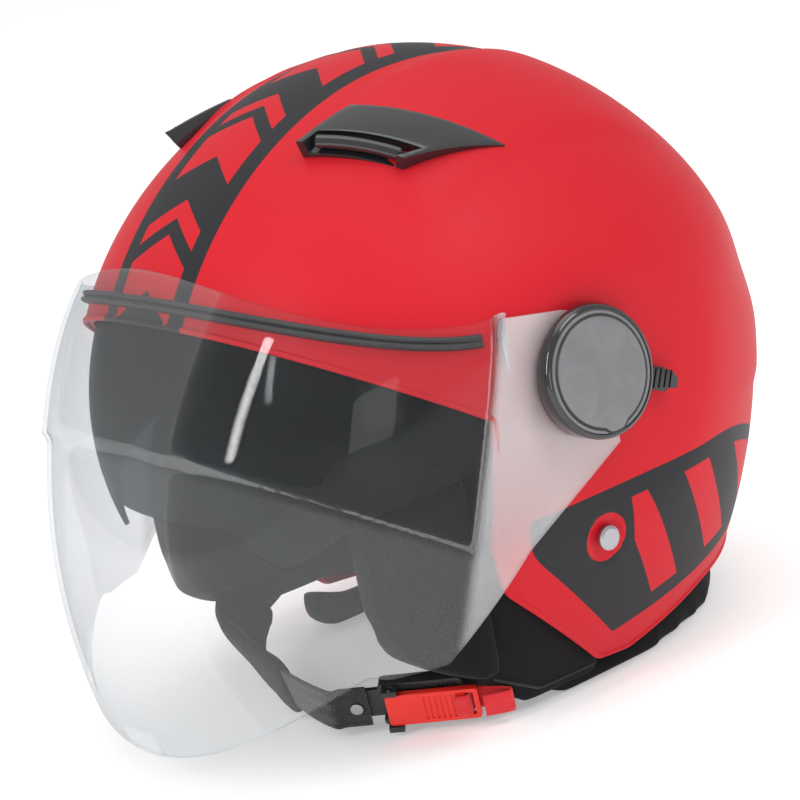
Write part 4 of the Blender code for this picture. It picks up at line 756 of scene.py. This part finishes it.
SHIELD = {"half_width": 121.5, "wall": 2.0, "reach": 161.5, "reach_z": -66, "up": 0.0031, "down": 0.0024,
          "middle": -37, "top": 63.5, "ear_top": 31, "low": -118, "low_rise": 48, "narrowing": 26.5,
          "setback": 17, "strip": -88.5, "ear_hole": 13.8}
STEP_HEIGHT = 2.3


def shield_point(turn, z, inset):
    """A point of the bubble in millimetres; turn is 0 at the front and 90 degrees at the ears."""
    bulge = SHIELD["up"] if z > SHIELD["reach_z"] else SHIELD["down"]
    reach = SHIELD["reach"] - bulge * (z - SHIELD["reach_z"]) ** 2
    share = max(z / SHIELD["top"], 0)
    half_width = SHIELD["half_width"] - SHIELD["narrowing"] * share ** 3
    middle = SHIELD["middle"] + SHIELD["setback"] * share
    depth = reach + middle
    y = middle - (depth - inset) * math.cos(turn)
    x = (half_width - inset) * math.sin(turn)
    return x, y, z


def ear_edge(y):
    bend = -41
    slope = 0.75 if y < bend else 0.5
    return -57.5 + slope * (y - bend)


def shield_edges(turn):
    size = abs(turn)
    top = SHIELD["ear_top"] + (SHIELD["top"] - SHIELD["ear_top"]) * math.cos(size) ** 2
    low = SHIELD["low"] + SHIELD["low_rise"] * math.sin(size) ** 2
    y = SHIELD["middle"] - (SHIELD["reach"] + SHIELD["middle"]) * math.cos(size)
    blend = min(max((math.degrees(size) - 53) / 5, 0), 1)
    blend = blend * blend * (3 - 2 * blend)
    return low + (max(SHIELD["strip"], ear_edge(y)) - low) * blend, top


def bubble_lift(y, z):
    """How far the bubble stands proud of the flat ears: 0 on the ears, rising over the step."""
    behind = ((y + 33) * 81 - (z - 29) * 30) / 86.4
    below = ((y + 63) * -37 - (z + 52) * 55) / 66.3
    distance = max(behind, below)
    share = min(max(-distance / 3.0, 0), 1)
    return share * share * (3 - 2 * share)


def build_shield():
    turns = np.concatenate([np.arange(0, 58, 1.6), np.arange(58, 90.1, 0.8)])
    turns = np.radians(np.concatenate([-turns[:0:-1], turns]))
    ears = np.arange(-35, 10.1, 2.5)
    rows = 64
    outer = []
    inner = []

    def column(points):
        outside, within = [], []
        for place in points:
            lift = bubble_lift(place(0)[1], place(0)[2])
            sunk = STEP_HEIGHT * (1 - lift)
            outside.append(place(sunk))
            within.append(place(sunk + SHIELD["wall"]))
        outer.append(outside)
        inner.append(within)

    def ear_column(side, y):
        top = SHIELD["ear_top"] - 0.2 * (y - SHIELD["middle"]) - 3 * smoothstep(y, -5, 8)
        low = ear_edge(y)
        heights = [low + (top - low) * k / rows for k in range(rows + 1)]
        column([lambda inset, h=h: (side * (SHIELD["half_width"] - inset), y, h) for h in heights])
    for y in ears[::-1]:
        ear_column(-1, y)
    for turn in turns:
        low, top = shield_edges(turn)
        heights = [low + (top - low) * k / rows for k in range(rows + 1)]
        column([lambda inset, h=h, t=turn: shield_point(t, h, inset) for h in heights])
    for y in ears:
        ear_column(1, y)
    mesh = sheet("shield", np.array(outer) * MM, np.array(inner) * MM)
    shield = add_piece("shield_bubble", mesh, "clear", "shield", "clear", ("face_shield",), 50)
    hole = turned([(SHIELD["ear_hole"] * MM, -0.2), (SHIELD["ear_hole"] * MM, 0.2)], across(1), 64)
    carve(shield, tube("hole", hole))
    shield.data.shade_smooth()
    shield.data.set_sharp_from_angle(angle=math.radians(50))


# ---------------------------------------------------------------- sun visor

def build_visor():
    half_width = 113.0
    reach = 111.6
    power = 2.3
    wall = 1.8

    def low_angle(x):
        size = abs(x)
        notch = smoothstep(size, 38, 58)
        side = smoothstep(size, 58, 98)
        return -8 - 10.5 * notch + 7.5 * side

    def point(turn, angle, inset):
        x = (half_width - inset) * math.sin(turn)
        share = min(abs(x) / (half_width - inset), 1)
        radius = (reach - inset) * (1 - share ** power) ** (1 / power)
        lean = math.radians(angle)
        return (x * MM, VISOR_PIVOT.y - radius * math.cos(lean) * MM,
                VISOR_PIVOT.z + radius * math.sin(lean) * MM)
    turns = np.radians(np.linspace(-88, 88, 120))
    rows = 30
    grids = []
    for inset in (0, wall):
        grid = []
        for turn in turns:
            low = low_angle(half_width * math.sin(turn))
            grid.append([point(turn, low + (34 - low) * k / rows, inset) for k in range(rows + 1)])
        grids.append(grid)
    add_piece("visor_lens", sheet("visor_lens", np.array(grids[0]), np.array(grids[1])), "tint", "visor",
              "tint", (), 50)
    for label, side in SIDES.items():
        rings = [(0.1 * MM, 110.9 * MM), (9.6 * MM, 110.9 * MM), (10 * MM, 111.3 * MM), (10 * MM, 112.8 * MM),
                 (9.6 * MM, 113.2 * MM), (0.1 * MM, 113.2 * MM)]

        def place(radius, angle, height, side=side):
            return (side * height, VISOR_PIVOT.y + radius * math.cos(angle),
                    VISOR_PIVOT.z + radius * math.sin(angle))
        add_piece("visor_ear_" + label, tube("visor_ear_" + label, turned(rings, place, 48)), "matte",
                  "visor", "tint")
    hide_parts("sun_visor")


# ---------------------------------------------------------------- hinge covers

EAR_FACE = 121.5 * MM
COVER = {"base": 25.4, "face": 23.3, "height": 7.6, "tilt": math.radians(7.5), "cap": 20.6, "lobe": 2.0}


def cover_plane(radius, angle, drop):
    tilt = math.tan(COVER["tilt"]) * radius * math.sin(angle)
    return EAR_FACE + COVER["height"] * MM - tilt - drop * MM


def cap_outline(angle, grow=0.0):
    off = (angle + math.pi / 2 + math.pi) % (2 * math.pi) - math.pi
    edge = 1 / (1 + math.exp((abs(off) - 0.2) / 0.03))
    return (COVER["cap"] + grow + COVER["lobe"] * edge) * MM


def build_covers():
    for label, side in SIDES.items():
        place = across(side)

        def ring(radius, drop):
            def reach(angle):
                return radius(angle) if callable(radius) else radius * MM
            return reach, lambda angle: cover_plane(reach(angle), angle, drop)
        base = EAR_FACE + 0.3 * MM
        wall = [(21.0 * MM, base), (25.0 * MM, base), (25.4 * MM, base + 0.4 * MM), ring(25.15, 2.6),
                ring(24.9, 1.3), ring(24.4, 0.5), ring(23.7, 0.1), ring(23.3, 0.0), ring(22.95, 0.1),
                ring(22.9, 1.8), ring(0.1, 1.8)]
        face = [ring(22.8, 1.7), ring(22.8, 0.4), ring(22.5, 0.2), ring(lambda a: min(cap_outline(a, 1.0), 22.4 * MM), 0.2),
                ring(lambda a: min(cap_outline(a, 0.7), 22.3 * MM), 0.5), ring(lambda a: min(cap_outline(a, 0.65), 22.25 * MM), 1.3)]
        black = add_piece("cover_wall_" + label, tube("cover_wall_" + label, turned(wall, place, 128)),
                          "gloss", "helmet", "gloss_black", (), 60)
        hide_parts("hinge_cover_" + label)
        floor = [ring(10, 1.3), ring(0.1, 1.3)]
        add_piece("cover_face_" + label, tube("cover_face_" + label, turned(face + floor, place, 192)),
                  "cap", "helmet", "grey_cap", (), 40)
        cap = [ring(lambda a: cap_outline(a, 0.05), 1.25), ring(lambda a: cap_outline(a, 0.05), 0.2),
               ring(lambda a: cap_outline(a, -0.25), -0.15), ring(lambda a: cap_outline(a, -0.7), -0.3),
               ring(17, -0.36), ring(12, -0.42), ring(6, -0.46), ring(0.3, -0.48)]
        grey = add_piece("cap_face_" + label, tube("cap_face_" + label, turned(cap, place, 192)),
                         "cap", "helmet", "grey_cap", (), 45)
        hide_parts("hinge_cap_" + label)
        # Painted shade: a matte black cord laid along the cap's groove darkens it where the groove's shade falls.
        groove = []
        for angle in np.linspace(0, 2 * math.pi, 240, endpoint=False):
            radius = cap_outline(angle, 0.25)
            groove.append(place(radius, angle, cover_plane(radius, angle, 0.25)))
        add_piece("groove_shade_cord_" + label, tube("groove_shade_cord_" + label, circle_path(groove, 0.5 * MM, 10, True), True),
                  "matte", "helmet", "matte_black")


# ---------------------------------------------------------------- vents

VENT = {"inner_rear": (41, -26), "inner_front": (43, -53), "outer_front": (75, -32), "tip": (84, 9)}
VENT_FRONT = 9.0
VENT_REAR = 2.4
BAR_HEIGHT = 5.2
BAR_RADIUS = 2.6


def vent_point(side, u, v, height):
    """A point over the shell in millimetres of height; u runs outwards and v rearwards."""
    front = Vector(VENT["inner_front"]).lerp(Vector(VENT["outer_front"]), u)
    rear = Vector(VENT["inner_rear"]).lerp(Vector(VENT["tip"]), u)
    plan = front.lerp(rear, v) * MM
    dx = plan.x
    dy = plan.y - DOME_CENTRE[1]
    plan_form = (abs(dx) / DOME["half_width"]) ** PLAN_POWER
    plan_form += (abs(dy) / (DOME["rear"] if dy > 0 else DOME["front"])) ** PLAN_POWER
    left = 1 - plan_form ** (HEIGHT_POWER / PLAN_POWER)
    offset = np.array([dx, dy, DOME["top"] * left ** (1 / HEIGHT_POWER)])
    point = offset + DOME_CENTRE + normals_at(offset) * height * MM
    return Vector((side * point[0], point[1], point[2]))


def vent_block(name, side, across_range, along_range, low, high, steps):
    grids = []
    for height in (high, low):
        grid = []
        for u in np.linspace(across_range[0], across_range[1], steps + 1):
            grid.append([vent_point(side, u, v, height(v))
                         for v in np.linspace(along_range[0], along_range[1], steps + 1)])
        grids.append(np.array(grid))
    return sheet(name, grids[0], grids[1])


def vent_height(v):
    return VENT_FRONT + (VENT_REAR - VENT_FRONT) * min(max(v, 0), 1) ** 0.8


def build_vents():
    for label, side in SIDES.items():
        name = "vent_cowl_" + label
        cowl = add_piece(name, vent_block(name, side, (0, 1), (0, 1), lambda v: 0.2, vent_height, 16), "gloss",
                         "helmet", "gloss_black", ("vent_housing_" + label,))
        notch = vent_block("notch", side, (0.07, 0.93), (-0.3, 0.26), lambda v: 1.8, lambda v: 20.0, 10)
        carve(cowl, notch)
        bevel(cowl, 0.55 * MM, 3, 30)
        stations = np.linspace(0, 1, 25)
        radii = [BAR_RADIUS * MM * min(1, (min(t, 1 - t) / 0.03 + 0.08) ** 0.5) for t in stations]
        path = [vent_point(side, 0.095 + 0.81 * t, 0.11, BAR_HEIGHT) for t in stations]
        loops = [[centre + (Vector(p) - centre) * (r / (BAR_RADIUS * MM)) for p in loop]
                 for centre, r, loop in zip(path, radii, circle_path(path, BAR_RADIUS * MM, 20))]
        add_piece("vent_bar_" + label, tube("vent_bar_" + label, loops), "gloss", "shutter_" + label,
                  "gloss_black", ("vent_shutter_" + label,))


# ---------------------------------------------------------------- soft parts

def seam(name, piece, rays, radius, finish, body="helmet", slot="lining"):
    """A corded seam laid on a piece where rays, given in the design frame, first meet it."""
    path = []
    for origin, direction in rays:
        hit, place, _, _ = piece.ray_cast(Vector(origin) + PIVOT, Vector(direction).normalized())
        if hit:
            path.append(place - PIVOT)
    if len(path) > 3:
        path = [path[0]] + [(a + b * 2 + c) / 4 for a, b, c in zip(path, path[1:], path[2:])] + [path[-1]]
        add_piece(name, tube(name, circle_path(path, radius * MM, 8)), finish, body, slot)


def stuffed(name, mesh, finish, slot, voxel, cap, replaced=(), pressure=4.0):
    """A cushion: the mesh is rebuilt in even cells, blown up as cloth, held within the cap and smoothed."""
    piece = add_piece(name, mesh, finish, "helmet", slot, replaced, 0)
    remesh = piece.modifiers.new("cells", "REMESH")
    remesh.mode = "VOXEL"
    remesh.voxel_size = voxel * MM
    apply_modifiers(piece)
    count = len(piece.data.vertices)
    before = np.empty(count * 3)
    piece.data.vertices.foreach_get("co", before)
    cloth = piece.modifiers.new("cloth", "CLOTH")
    cloth.settings.quality = 4
    cloth.settings.use_pressure = True
    cloth.settings.uniform_pressure_force = pressure
    cloth.settings.effector_weights.gravity = 0
    cloth.settings.tension_stiffness = 12
    cloth.settings.bending_stiffness = 0.4
    for number in range(1, 21):
        bpy.context.scene.frame_set(number)
    apply_modifiers(piece)
    bpy.context.scene.frame_set(1)
    after = np.empty(count * 3)
    piece.data.vertices.foreach_get("co", after)
    move = (after - before).reshape(-1, 3)
    size = np.linalg.norm(move, axis=1, keepdims=True)
    move *= np.minimum(1, cap * MM / np.maximum(size, 1e-9))
    piece.data.vertices.foreach_set("co", (before.reshape(-1, 3) + move).ravel())
    relax = piece.modifiers.new("relax", "SMOOTH")
    relax.factor = 0.5
    relax.iterations = 4
    finer = piece.modifiers.new("finer", "SUBSURF")
    finer.levels = 1
    finer.render_levels = 1
    apply_modifiers(piece)
    piece.data.shade_smooth()
    return piece


def cad_mesh(node):
    """A node's mesh in the design frame."""
    source = frame["nodes"][node]
    mesh = source.data.copy()
    mesh.materials.clear()
    mesh.transform(Matrix.Translation(-PIVOT) @ source.matrix_world)
    return mesh


def build_pads():
    crown = stuffed("crown_cushion", cad_mesh("crown_pad"), "knit", "lining", 5.0, 2.0, ("crown_pad",))
    centre = Vector((0, 8, 0)) * MM
    for k, lean in enumerate((-34, 34)):
        rays = []
        for step in range(60):
            turn = math.radians(-20 + 200 * step / 59)
            direction = Vector((math.tan(math.radians(lean)) * 0.8, -math.cos(turn), math.sin(turn)))
            rays.append((centre, direction))
        seam("crown_seam_%d" % k, crown, rays, 0.9, "web")
    for label, side in SIDES.items():
        node = "cheek_pad_" + label
        pad = stuffed("cheek_cushion_" + label, cad_mesh(node), "knit", "lining", 4.0, 3.0, (node,))
        for number, (y0, z0, y1, z1) in enumerate(((-38, -52, 26, -40), (-40, -84, 24, -88))):
            rays = [((0, (y0 + (y1 - y0) * t) * MM, (z0 + (z1 - z0) * t - 3 * math.sin(math.pi * t)) * MM),
                     (side, 0, 0)) for t in np.linspace(0, 1, 40)]
            seam("cheek_seam_%s_%d" % (label, number), pad, rays, 0.8, "web")
    roll = stuffed("neck_cushion", cad_mesh("neck_roll"), "skirt", "lining", 5.0, 3.0, ("neck_roll",))
    rays = []
    for step in range(140):
        turn = math.radians(-22 + 224 * step / 139)
        direction = Vector((math.cos(turn), math.sin(turn), 0))
        rays.append((Vector((0, 6 * MM, -117 * MM)) + direction * 0.2, -direction))
    seam("neck_seam", roll, rays, 0.8, "web")
    build_skirt()


def build_skirt():
    """The padded guard between the buckle and the shell's lower front edge."""
    for label, side in (("left", 1),):
        outer, inner = [], []
        for y in np.linspace(-52, 4, 15):
            share = smoothstep(y, -52, -30)
            rim = -75 - 46 * min(max((y + 45) / 45, 0), 1)
            top = rim + 5
            low = -116 - 14 * share
            columns = []
            top_x = side_width(y * MM, top * MM) / MM - 5.5
            for z in np.linspace(top, low, 13):
                fall = (top - z) / (top - low)
                x = top_x + (82 + 3 * share - top_x) * fall + 1.5 * math.sin(math.pi * fall)
                columns.append((x, y, z))
            outer.append([(side * x * MM, a * MM, b * MM) for x, a, b in columns])
            inner.append([(side * (x - 4.5) * MM, a * MM, b * MM) for x, a, b in columns])
        mesh = sheet("apron_" + label, np.array(outer), np.array(inner))
        apron = stuffed("apron_" + label, mesh, "skirt", "lining", 2.5, 1.5)
        rays = [((side * 0.2, (-46 + 46 * t) * MM, (-113.5 - 11 * min(t * 2.4, 1)) * MM), (-side, 0, 0))
                for t in np.linspace(0, 1, 30)]
        seam("apron_seam_" + label, apron, rays, 0.6, "web")


# ---------------------------------------------------------------- strap

STRAP = {"width": 19.0, "thickness": 1.8, "lap": 9.0, "anchor_x": 107.8}
BUCKLE_CENTRE = Vector((60, -62, -119.5))
BUCKLE_ALONG = Vector((-0.70, -0.71, 0.04)).normalized()
BUCKLE = {"length": 33.0, "width": 20.0, "depth": 6.0, "tongue": 2.2, "reach": 14.0, "lift": 1.5}
EDGE_AT_CHIN = Vector((0, 0.4, -0.92))


def buckle_place(u, v, height):
    """Millimetres along the strap, across its width and out of the buckle's face, to design millimetres."""
    width_way = (EDGE_AT_CHIN - BUCKLE_ALONG * EDGE_AT_CHIN.dot(BUCKLE_ALONG)).normalized()
    out = width_way.cross(BUCKLE_ALONG).normalized()
    if out.x < 0:
        out.negate()
    return BUCKLE_CENTRE + BUCKLE_ALONG * u + width_way * v + out * height


def smooth_path(knots, count):
    """Points at even steps along a curve through the knots."""
    knots = [Vector(k) for k in knots]
    ends = [2 * knots[0] - knots[1]] + knots + [2 * knots[-1] - knots[-2]]
    dense = []
    for k in range(1, len(ends) - 2):
        p0, p1, p2, p3 = ends[k - 1:k + 3]
        for step in range(20):
            t = step / 20
            dense.append(0.5 * (2 * p1 + (p2 - p0) * t + (2 * p0 - 5 * p1 + 4 * p2 - p3) * t ** 2
                                + (3 * p1 - p0 - 3 * p2 + p3) * t ** 3))
    dense = np.array([list(p) for p in dense + [knots[-1]]])
    lengths = np.concatenate([[0], np.cumsum(np.linalg.norm(np.diff(dense, axis=0), axis=1))])
    wanted = np.linspace(0, lengths[-1], count + 1)
    return [Vector(p) for p in np.stack([np.interp(wanted, lengths, dense[:, k]) for k in range(3)], -1)]


def upper_knots(side):
    x = STRAP["anchor_x"]
    y, z = RIVET[0] / MM, RIVET[1] / MM
    return [(side * x, y + 1, z + 7), (side * (x - 0.3), y, z), (side * (x - 2), y - 2, z - 9),
            (side * 97, -13, -86), (side * 85, -25, -96)]


def strap_path(side, count):
    if side > 0:
        under = -BUCKLE["depth"] / 2 - 0.6 - STRAP["thickness"] / 2
        start = -BUCKLE["length"] / 2
        knots = [(76, -31, -107), (71.5, -37, -116.5), buckle_place(start - 4, 0, under),
                 buckle_place(start + STRAP["lap"], 0, under)]
    else:
        over = BUCKLE["tongue"] / 2 + 0.3 + STRAP["thickness"] / 2
        reach = BUCKLE["length"] / 2 + BUCKLE["reach"]
        knots = [(-77, -38, -102), (-67, -58, -107), (-46, -74, -111), (-14, -84, -114), (16, -89, -117),
                 buckle_place(reach + 6, 0, over), buckle_place(reach + 1, 0, over),
                 buckle_place(reach - STRAP["lap"], 0, over)]
    return smooth_path(upper_knots(side) + knots, count)


def band_frames(points, start, end):
    """At each point: the place, the width direction and the face normal of a flat band."""
    last = len(points) - 1
    frames = []
    for k, point in enumerate(points):
        tangent = (points[min(k + 1, last)] - points[max(k - 1, 0)]).normalized()
        share = k / last
        edge = Vector(start).lerp(Vector(end), share * share * (3 - 2 * share))
        edge = (edge - tangent * edge.dot(tangent)).normalized()
        frames.append((point, edge, tangent.cross(edge).normalized()))
    return frames


def band_section(width, thickness):
    """Half a turn of (across, out) pairs round a flat strip with rounded edges."""
    half = width / 2
    deep = thickness / 2
    upper = [(-half, 0), (-half + deep * 0.3, deep * 0.75), (-half + deep, deep), (-half * 0.5, deep),
             (0, deep), (half * 0.5, deep), (half - deep, deep), (half - deep * 0.3, deep * 0.75)]
    return upper + [(-u, -v) for u, v in upper]


def band(name, frames, width, thickness, finish, body, slot, replaced):
    section = band_section(width, thickness)
    loops, uvs = [], []
    run = 0
    for k, (point, edge, normal) in enumerate(frames):
        run += (point - frames[k - 1][0]).length if k else 0
        loops.append([(point + edge * u + normal * v) * MM for u, v in section])
        uvs += [(run * MM, u * MM) for u, _ in section]
    return add_piece(name, tube(name, loops, uvs=uvs), finish, body, slot, replaced, 60)


def stitches(name, frames, offsets, lift, pitch=2.6):
    """Rows of thread along a band at given distances across it."""
    parts = bmesh.new()
    for offset in offsets:
        for k in range(len(frames) - 1):
            start, end = frames[k], frames[k + 1]
            a = (start[0] + start[1] * offset + start[2] * lift) * MM
            b = (end[0] + end[1] * offset + end[2] * lift) * MM
            middle = (a + b) / 2 + start[2] * 0.12 * MM
            piece = tube("stitch", circle_path([a.lerp(b, 0.15), middle, a.lerp(b, 0.85)], 0.28 * MM, 6))
            parts.from_mesh(piece)
            bpy.data.meshes.remove(piece)
    mesh = bpy.data.meshes.new(name)
    parts.to_mesh(mesh)
    parts.free()
    add_piece(name, mesh, "thread", "helmet", "webbing")


def build_straps():
    edges = (buckle_place(0, 1, 0) - buckle_place(0, 0, 0))
    for label, side in SIDES.items():
        path = strap_path(side, 100 if side > 0 else 150)
        frames = band_frames(path, (0, 0.96, -0.2), edges)
        node = "strap_" + label
        band("webbing_" + label, frames, STRAP["width"], STRAP["thickness"], "web", "helmet", "webbing", (node,))
        out = STRAP["thickness"] / 2 * (-1 if side > 0 else 1)
        near = frames[-16:-1] if side > 0 else frames[-12:-1]
        for face in (1, -1):
            stitches("stitching_%s_%d" % (label, face + 1), near, (-7.6, 7.6), abs(out) * face + 0.1 * face)
        if side < 0:
            build_sleeve(frames[55:120])


def build_sleeve(frames):
    """A quilted cover round the strap under the chin."""
    count = 28
    loops = []
    for k, (point, edge, normal) in enumerate(frames):
        share = k / (len(frames) - 1)
        quilt = 0.5 + 0.5 * abs(math.sin(math.pi * share * 5)) ** 0.6
        gather = 0.86 + 0.14 * min(min(share, 1 - share) / 0.04, 1)
        loop = []
        for step in range(count):
            turn = 2 * math.pi * step / count
            u = math.copysign(abs(math.cos(turn)) ** 0.55, math.cos(turn)) * 14 * gather
            v = math.copysign(abs(math.sin(turn)) ** 0.8, math.sin(turn)) * (2.1 + 1.25 * quilt)
            loop.append((point + edge * u + normal * v) * MM)
        loops.append(loop)
    sleeve = add_piece("chin_sleeve", tube("chin_sleeve", loops), "knit", "helmet", "lining",
                       ("strap_sleeve",), 60)


# ---------------------------------------------------------------- buckle

def block(length, width, low, high, taper=0.0):
    """A box in the buckle's coordinates, as a mesh; taper pulls its top in."""
    loops = []
    for height, pull in ((low, 0), (high, taper)):
        loops.append([buckle_place(u, v, height) * MM for u, v in (
            (length[0] + pull, width[0] + pull), (length[1] - pull, width[0] + pull),
            (length[1] - pull, width[1] - pull), (length[0] + pull, width[1] - pull))])
    return tube("block", loops)


def build_buckle():
    body = refined("buckle_body", "ratchet_body", "helmet", "matte", "matte_black", 0.5 * MM)
    for k in range(5):
        u = -14.5 + 1.6 * k
        carve(body, block((u, u + 0.8), (-8.2, 8.2), 2.4, 4.0))
    tongue = refined("buckle_tongue", "ratchet_tongue", "helmet", "matte", "matte_black", 0.35 * MM)
    for k in range(7):
        u = -3 + 2.4 * k
        carve(tongue, block((u, u + 1.2), (-4.2, 4.2), 0.6, 3.0, -0.4))
    lever = refined("buckle_lever", "ratchet_lever", "release", "red_plastic", "red_plastic", 0.5 * MM)
    top = BUCKLE["depth"] / 2 + BUCKLE["lift"] + 2.6
    for k in range(6):
        u = -13 + 2.2 * k
        carve(lever, block((u, u + 1.0), (-5.6, 5.6), top - 0.5, top + 2))
    refined("buckle_pin", "ratchet_pin", "helmet", "steel", "steel", 0.2 * MM)
    for node in ("tongue_rivet", "body_rivet"):
        refined(node, node + "_head", "helmet", "aluminium", "aluminium", 0.3 * MM)
    build_ribbon()


def build_ribbon():
    """A folded loop of ribbon through the lever's tail."""
    tail = -BUCKLE["length"] / 2 - 6
    mid = BUCKLE["depth"] / 2 + BUCKLE["lift"] + 1.3
    knots = [(tail + 9, 0, mid + 2.5), (tail + 5, 0, mid + 2.4), (tail + 3.6, 0, mid + 1.4),
             (tail + 3.4, 0, mid - 1.2), (tail + 2, 0, mid - 2.4), (tail - 3, 0, mid - 2.2),
             (tail - 11, 0, mid - 0.8), (tail - 13, 0, mid + 0.6), (tail - 11, 0, mid + 2), (tail - 2, 0, mid + 3.4)]
    path = [buckle_place(*p) for p in smooth_path(knots, 90)]
    side = buckle_place(0, 1, 0) - buckle_place(0, 0, 0)
    frames = band_frames(path, side, side)
    band("pull_loop", frames, 10.2, 0.9, "ribbon", "release", "red_ribbon", ("pull_ribbon",))


# ---------------------------------------------------------------- small parts

def build_rivets():
    skin = side_width(*RIVET)
    for label, side in SIDES.items():
        rings = [(0.1, -4), (3, -4), (3, 0.2), (4.4, 0.2), (4.8, 0.5), (4.8, 0.9), (4.5, 1.3), (3.8, 1.65),
                 (2.6, 1.9), (1.7, 1.95), (1.3, 1.7), (0.1, 1.6)]

        def place(radius, angle, height, side=side):
            return (side * (skin + height), RIVET[0] + radius * math.cos(angle),
                    RIVET[1] + radius * math.sin(angle))
        loops = turned([(r * MM, h * MM) for r, h in rings], place, 64)
        add_piece("rivet_head_" + label, tube("rivet_head_" + label, loops), "aluminium", "helmet", "aluminium")


def build_lever():
    """The visor's lever with moulded ribs along its tab."""
    lever = refined("visor_lever", "lever_arm", "lever", "matte", "matte_black", 0.45 * MM, 2)
    lean = math.radians(-24)
    along = Vector((math.cos(lean), math.sin(lean)))
    beside = Vector((-along.y, along.x))
    for k in range(4):
        centre = along * (30.5 + 2.6 * k)
        corners = [centre + along * a + beside * b for a, b in ((-0.45, -6), (0.45, -6), (0.45, 6), (-0.45, 6))]
        low, high = 122.9, 126
        carve(lever, tube("rib", [[(x * MM, p.x * MM, p.y * MM) for p in corners] for x in (low, high)]))


# ---------------------------------------------------------------- stage

def build_stage():
    mesh = bpy.data.meshes.new("floor")
    mesh.from_pydata([(-4, -4, 0), (4, -4, 0), (4, 4, 0), (-4, 4, 0)], [], [(0, 1, 2, 3)])
    floor = bpy.data.objects.new("floor", mesh)
    bpy.context.scene.collection.objects.link(floor)
    made, tree, shader = new_material("floor_white", (0.93, 0.93, 0.93, 1), 0.8, Emission_Color=(1, 1, 1, 1),
                                      Emission_Strength=0.3)
    vary(tree, shader, "Roughness", 0.8, 0.03, texture(tree, "Noise", 3))
    mesh.materials.append(made)


def add_light(name, place, size, power, target=(0, 0, 0.12)):
    data = bpy.data.lights.new(name, "AREA")
    data.shape = "RECTANGLE"
    data.size = size[0]
    data.size_y = size[1]
    data.energy = power
    lamp = bpy.data.objects.new(name, data)
    lamp.location = place
    aim = Vector(target) - Vector(place)
    lamp.rotation_euler = aim.to_track_quat("-Z", "Y").to_euler()
    bpy.context.scene.collection.objects.link(lamp)


def build_lights():
    world = bpy.data.worlds.new("studio")
    bpy.context.scene.world = world
    world.use_nodes = True
    world.node_tree.nodes["Background"].inputs[0].default_value = (1, 1, 1, 1)
    world.node_tree.nodes["Background"].inputs[1].default_value = 0.62
    add_light("key", (1.3, 0.5, 1.9), (1.0, 1.0), 14)
    add_light("band", (0.16, -1.75, 1.15), (0.12, 1.1), 14)
    add_light("side", (2.2, -1.3, 0.5), (0.8, 0.8), 5)
    add_light("top", (-0.2, 0.2, 2.4), (1.8, 1.8), 14)
    bpy.context.scene.view_settings.view_transform = "Standard"


def build_camera():
    back = Vector((math.sin(CAMERA_AZIMUTH) * math.cos(CAMERA_HEIGHT),
                   -math.cos(CAMERA_AZIMUTH) * math.cos(CAMERA_HEIGHT), math.sin(CAMERA_HEIGHT)))
    right = Vector((0, 0, 1)).cross(back).normalized()
    up = back.cross(right)
    rolled_right = right * math.cos(CAMERA_ROLL) + up * math.sin(CAMERA_ROLL)
    rolled_up = up * math.cos(CAMERA_ROLL) - right * math.sin(CAMERA_ROLL)
    data = bpy.data.cameras.new("camera")
    data.lens = CAMERA_LENS
    data.sensor_width = 36
    data.shift_x, data.shift_y = CAMERA_SHIFT
    data.clip_start = 0.05
    camera = bpy.data.objects.new("camera", data)
    turn = Matrix((rolled_right, rolled_up, back)).transposed().to_4x4()
    camera.matrix_world = Matrix.Translation(PIVOT + back * CAMERA_DISTANCE) @ turn
    bpy.context.scene.collection.objects.link(camera)
    bpy.context.scene.camera = camera


# ---------------------------------------------------------------- assembly

CAD_FINISH = {
    "eps_liner": "foam", "crown_pad": "knit", "cheek_pad_left": "knit", "cheek_pad_right": "knit",
    "neck_roll": "skirt", "visor_lever": "matte", "hinge_base_left": "matte", "hinge_base_right": "matte",
    "hinge_screw_left": "steel", "hinge_screw_right": "steel", "detent_spring_left": "steel",
    "detent_spring_right": "steel", "visor_pin_left": "steel", "visor_pin_right": "steel",
    "vent_housing_left": "gloss", "vent_housing_right": "gloss", "vent_shutter_left": "matte",
    "vent_shutter_right": "matte", "anchor_rivet_left": "aluminium", "anchor_rivet_right": "aluminium",
    "anchor_plate_left": "steel", "anchor_plate_right": "steel", "strap_left": "web", "strap_right": "web",
    "strap_sleeve": "knit", "buckle_body": "matte", "buckle_tongue": "matte", "buckle_lever": "red_plastic",
    "buckle_pin": "steel", "pull_ribbon": "ribbon", "tongue_rivet": "aluminium", "body_rivet": "aluminium",
}


def finish_cad_nodes():
    for node, key in CAD_FINISH.items():
        mesh = frame["nodes"][node].data
        mesh.materials.clear()
        mesh.materials.append(MATERIALS[key])


finish_cad_nodes()
build_shell()
build_gasket()
build_shield()
build_visor()
build_covers()
build_vents()
build_pads()
build_straps()
build_buckle()
build_rivets()
build_lever()
build_stage()
build_lights()
build_camera()
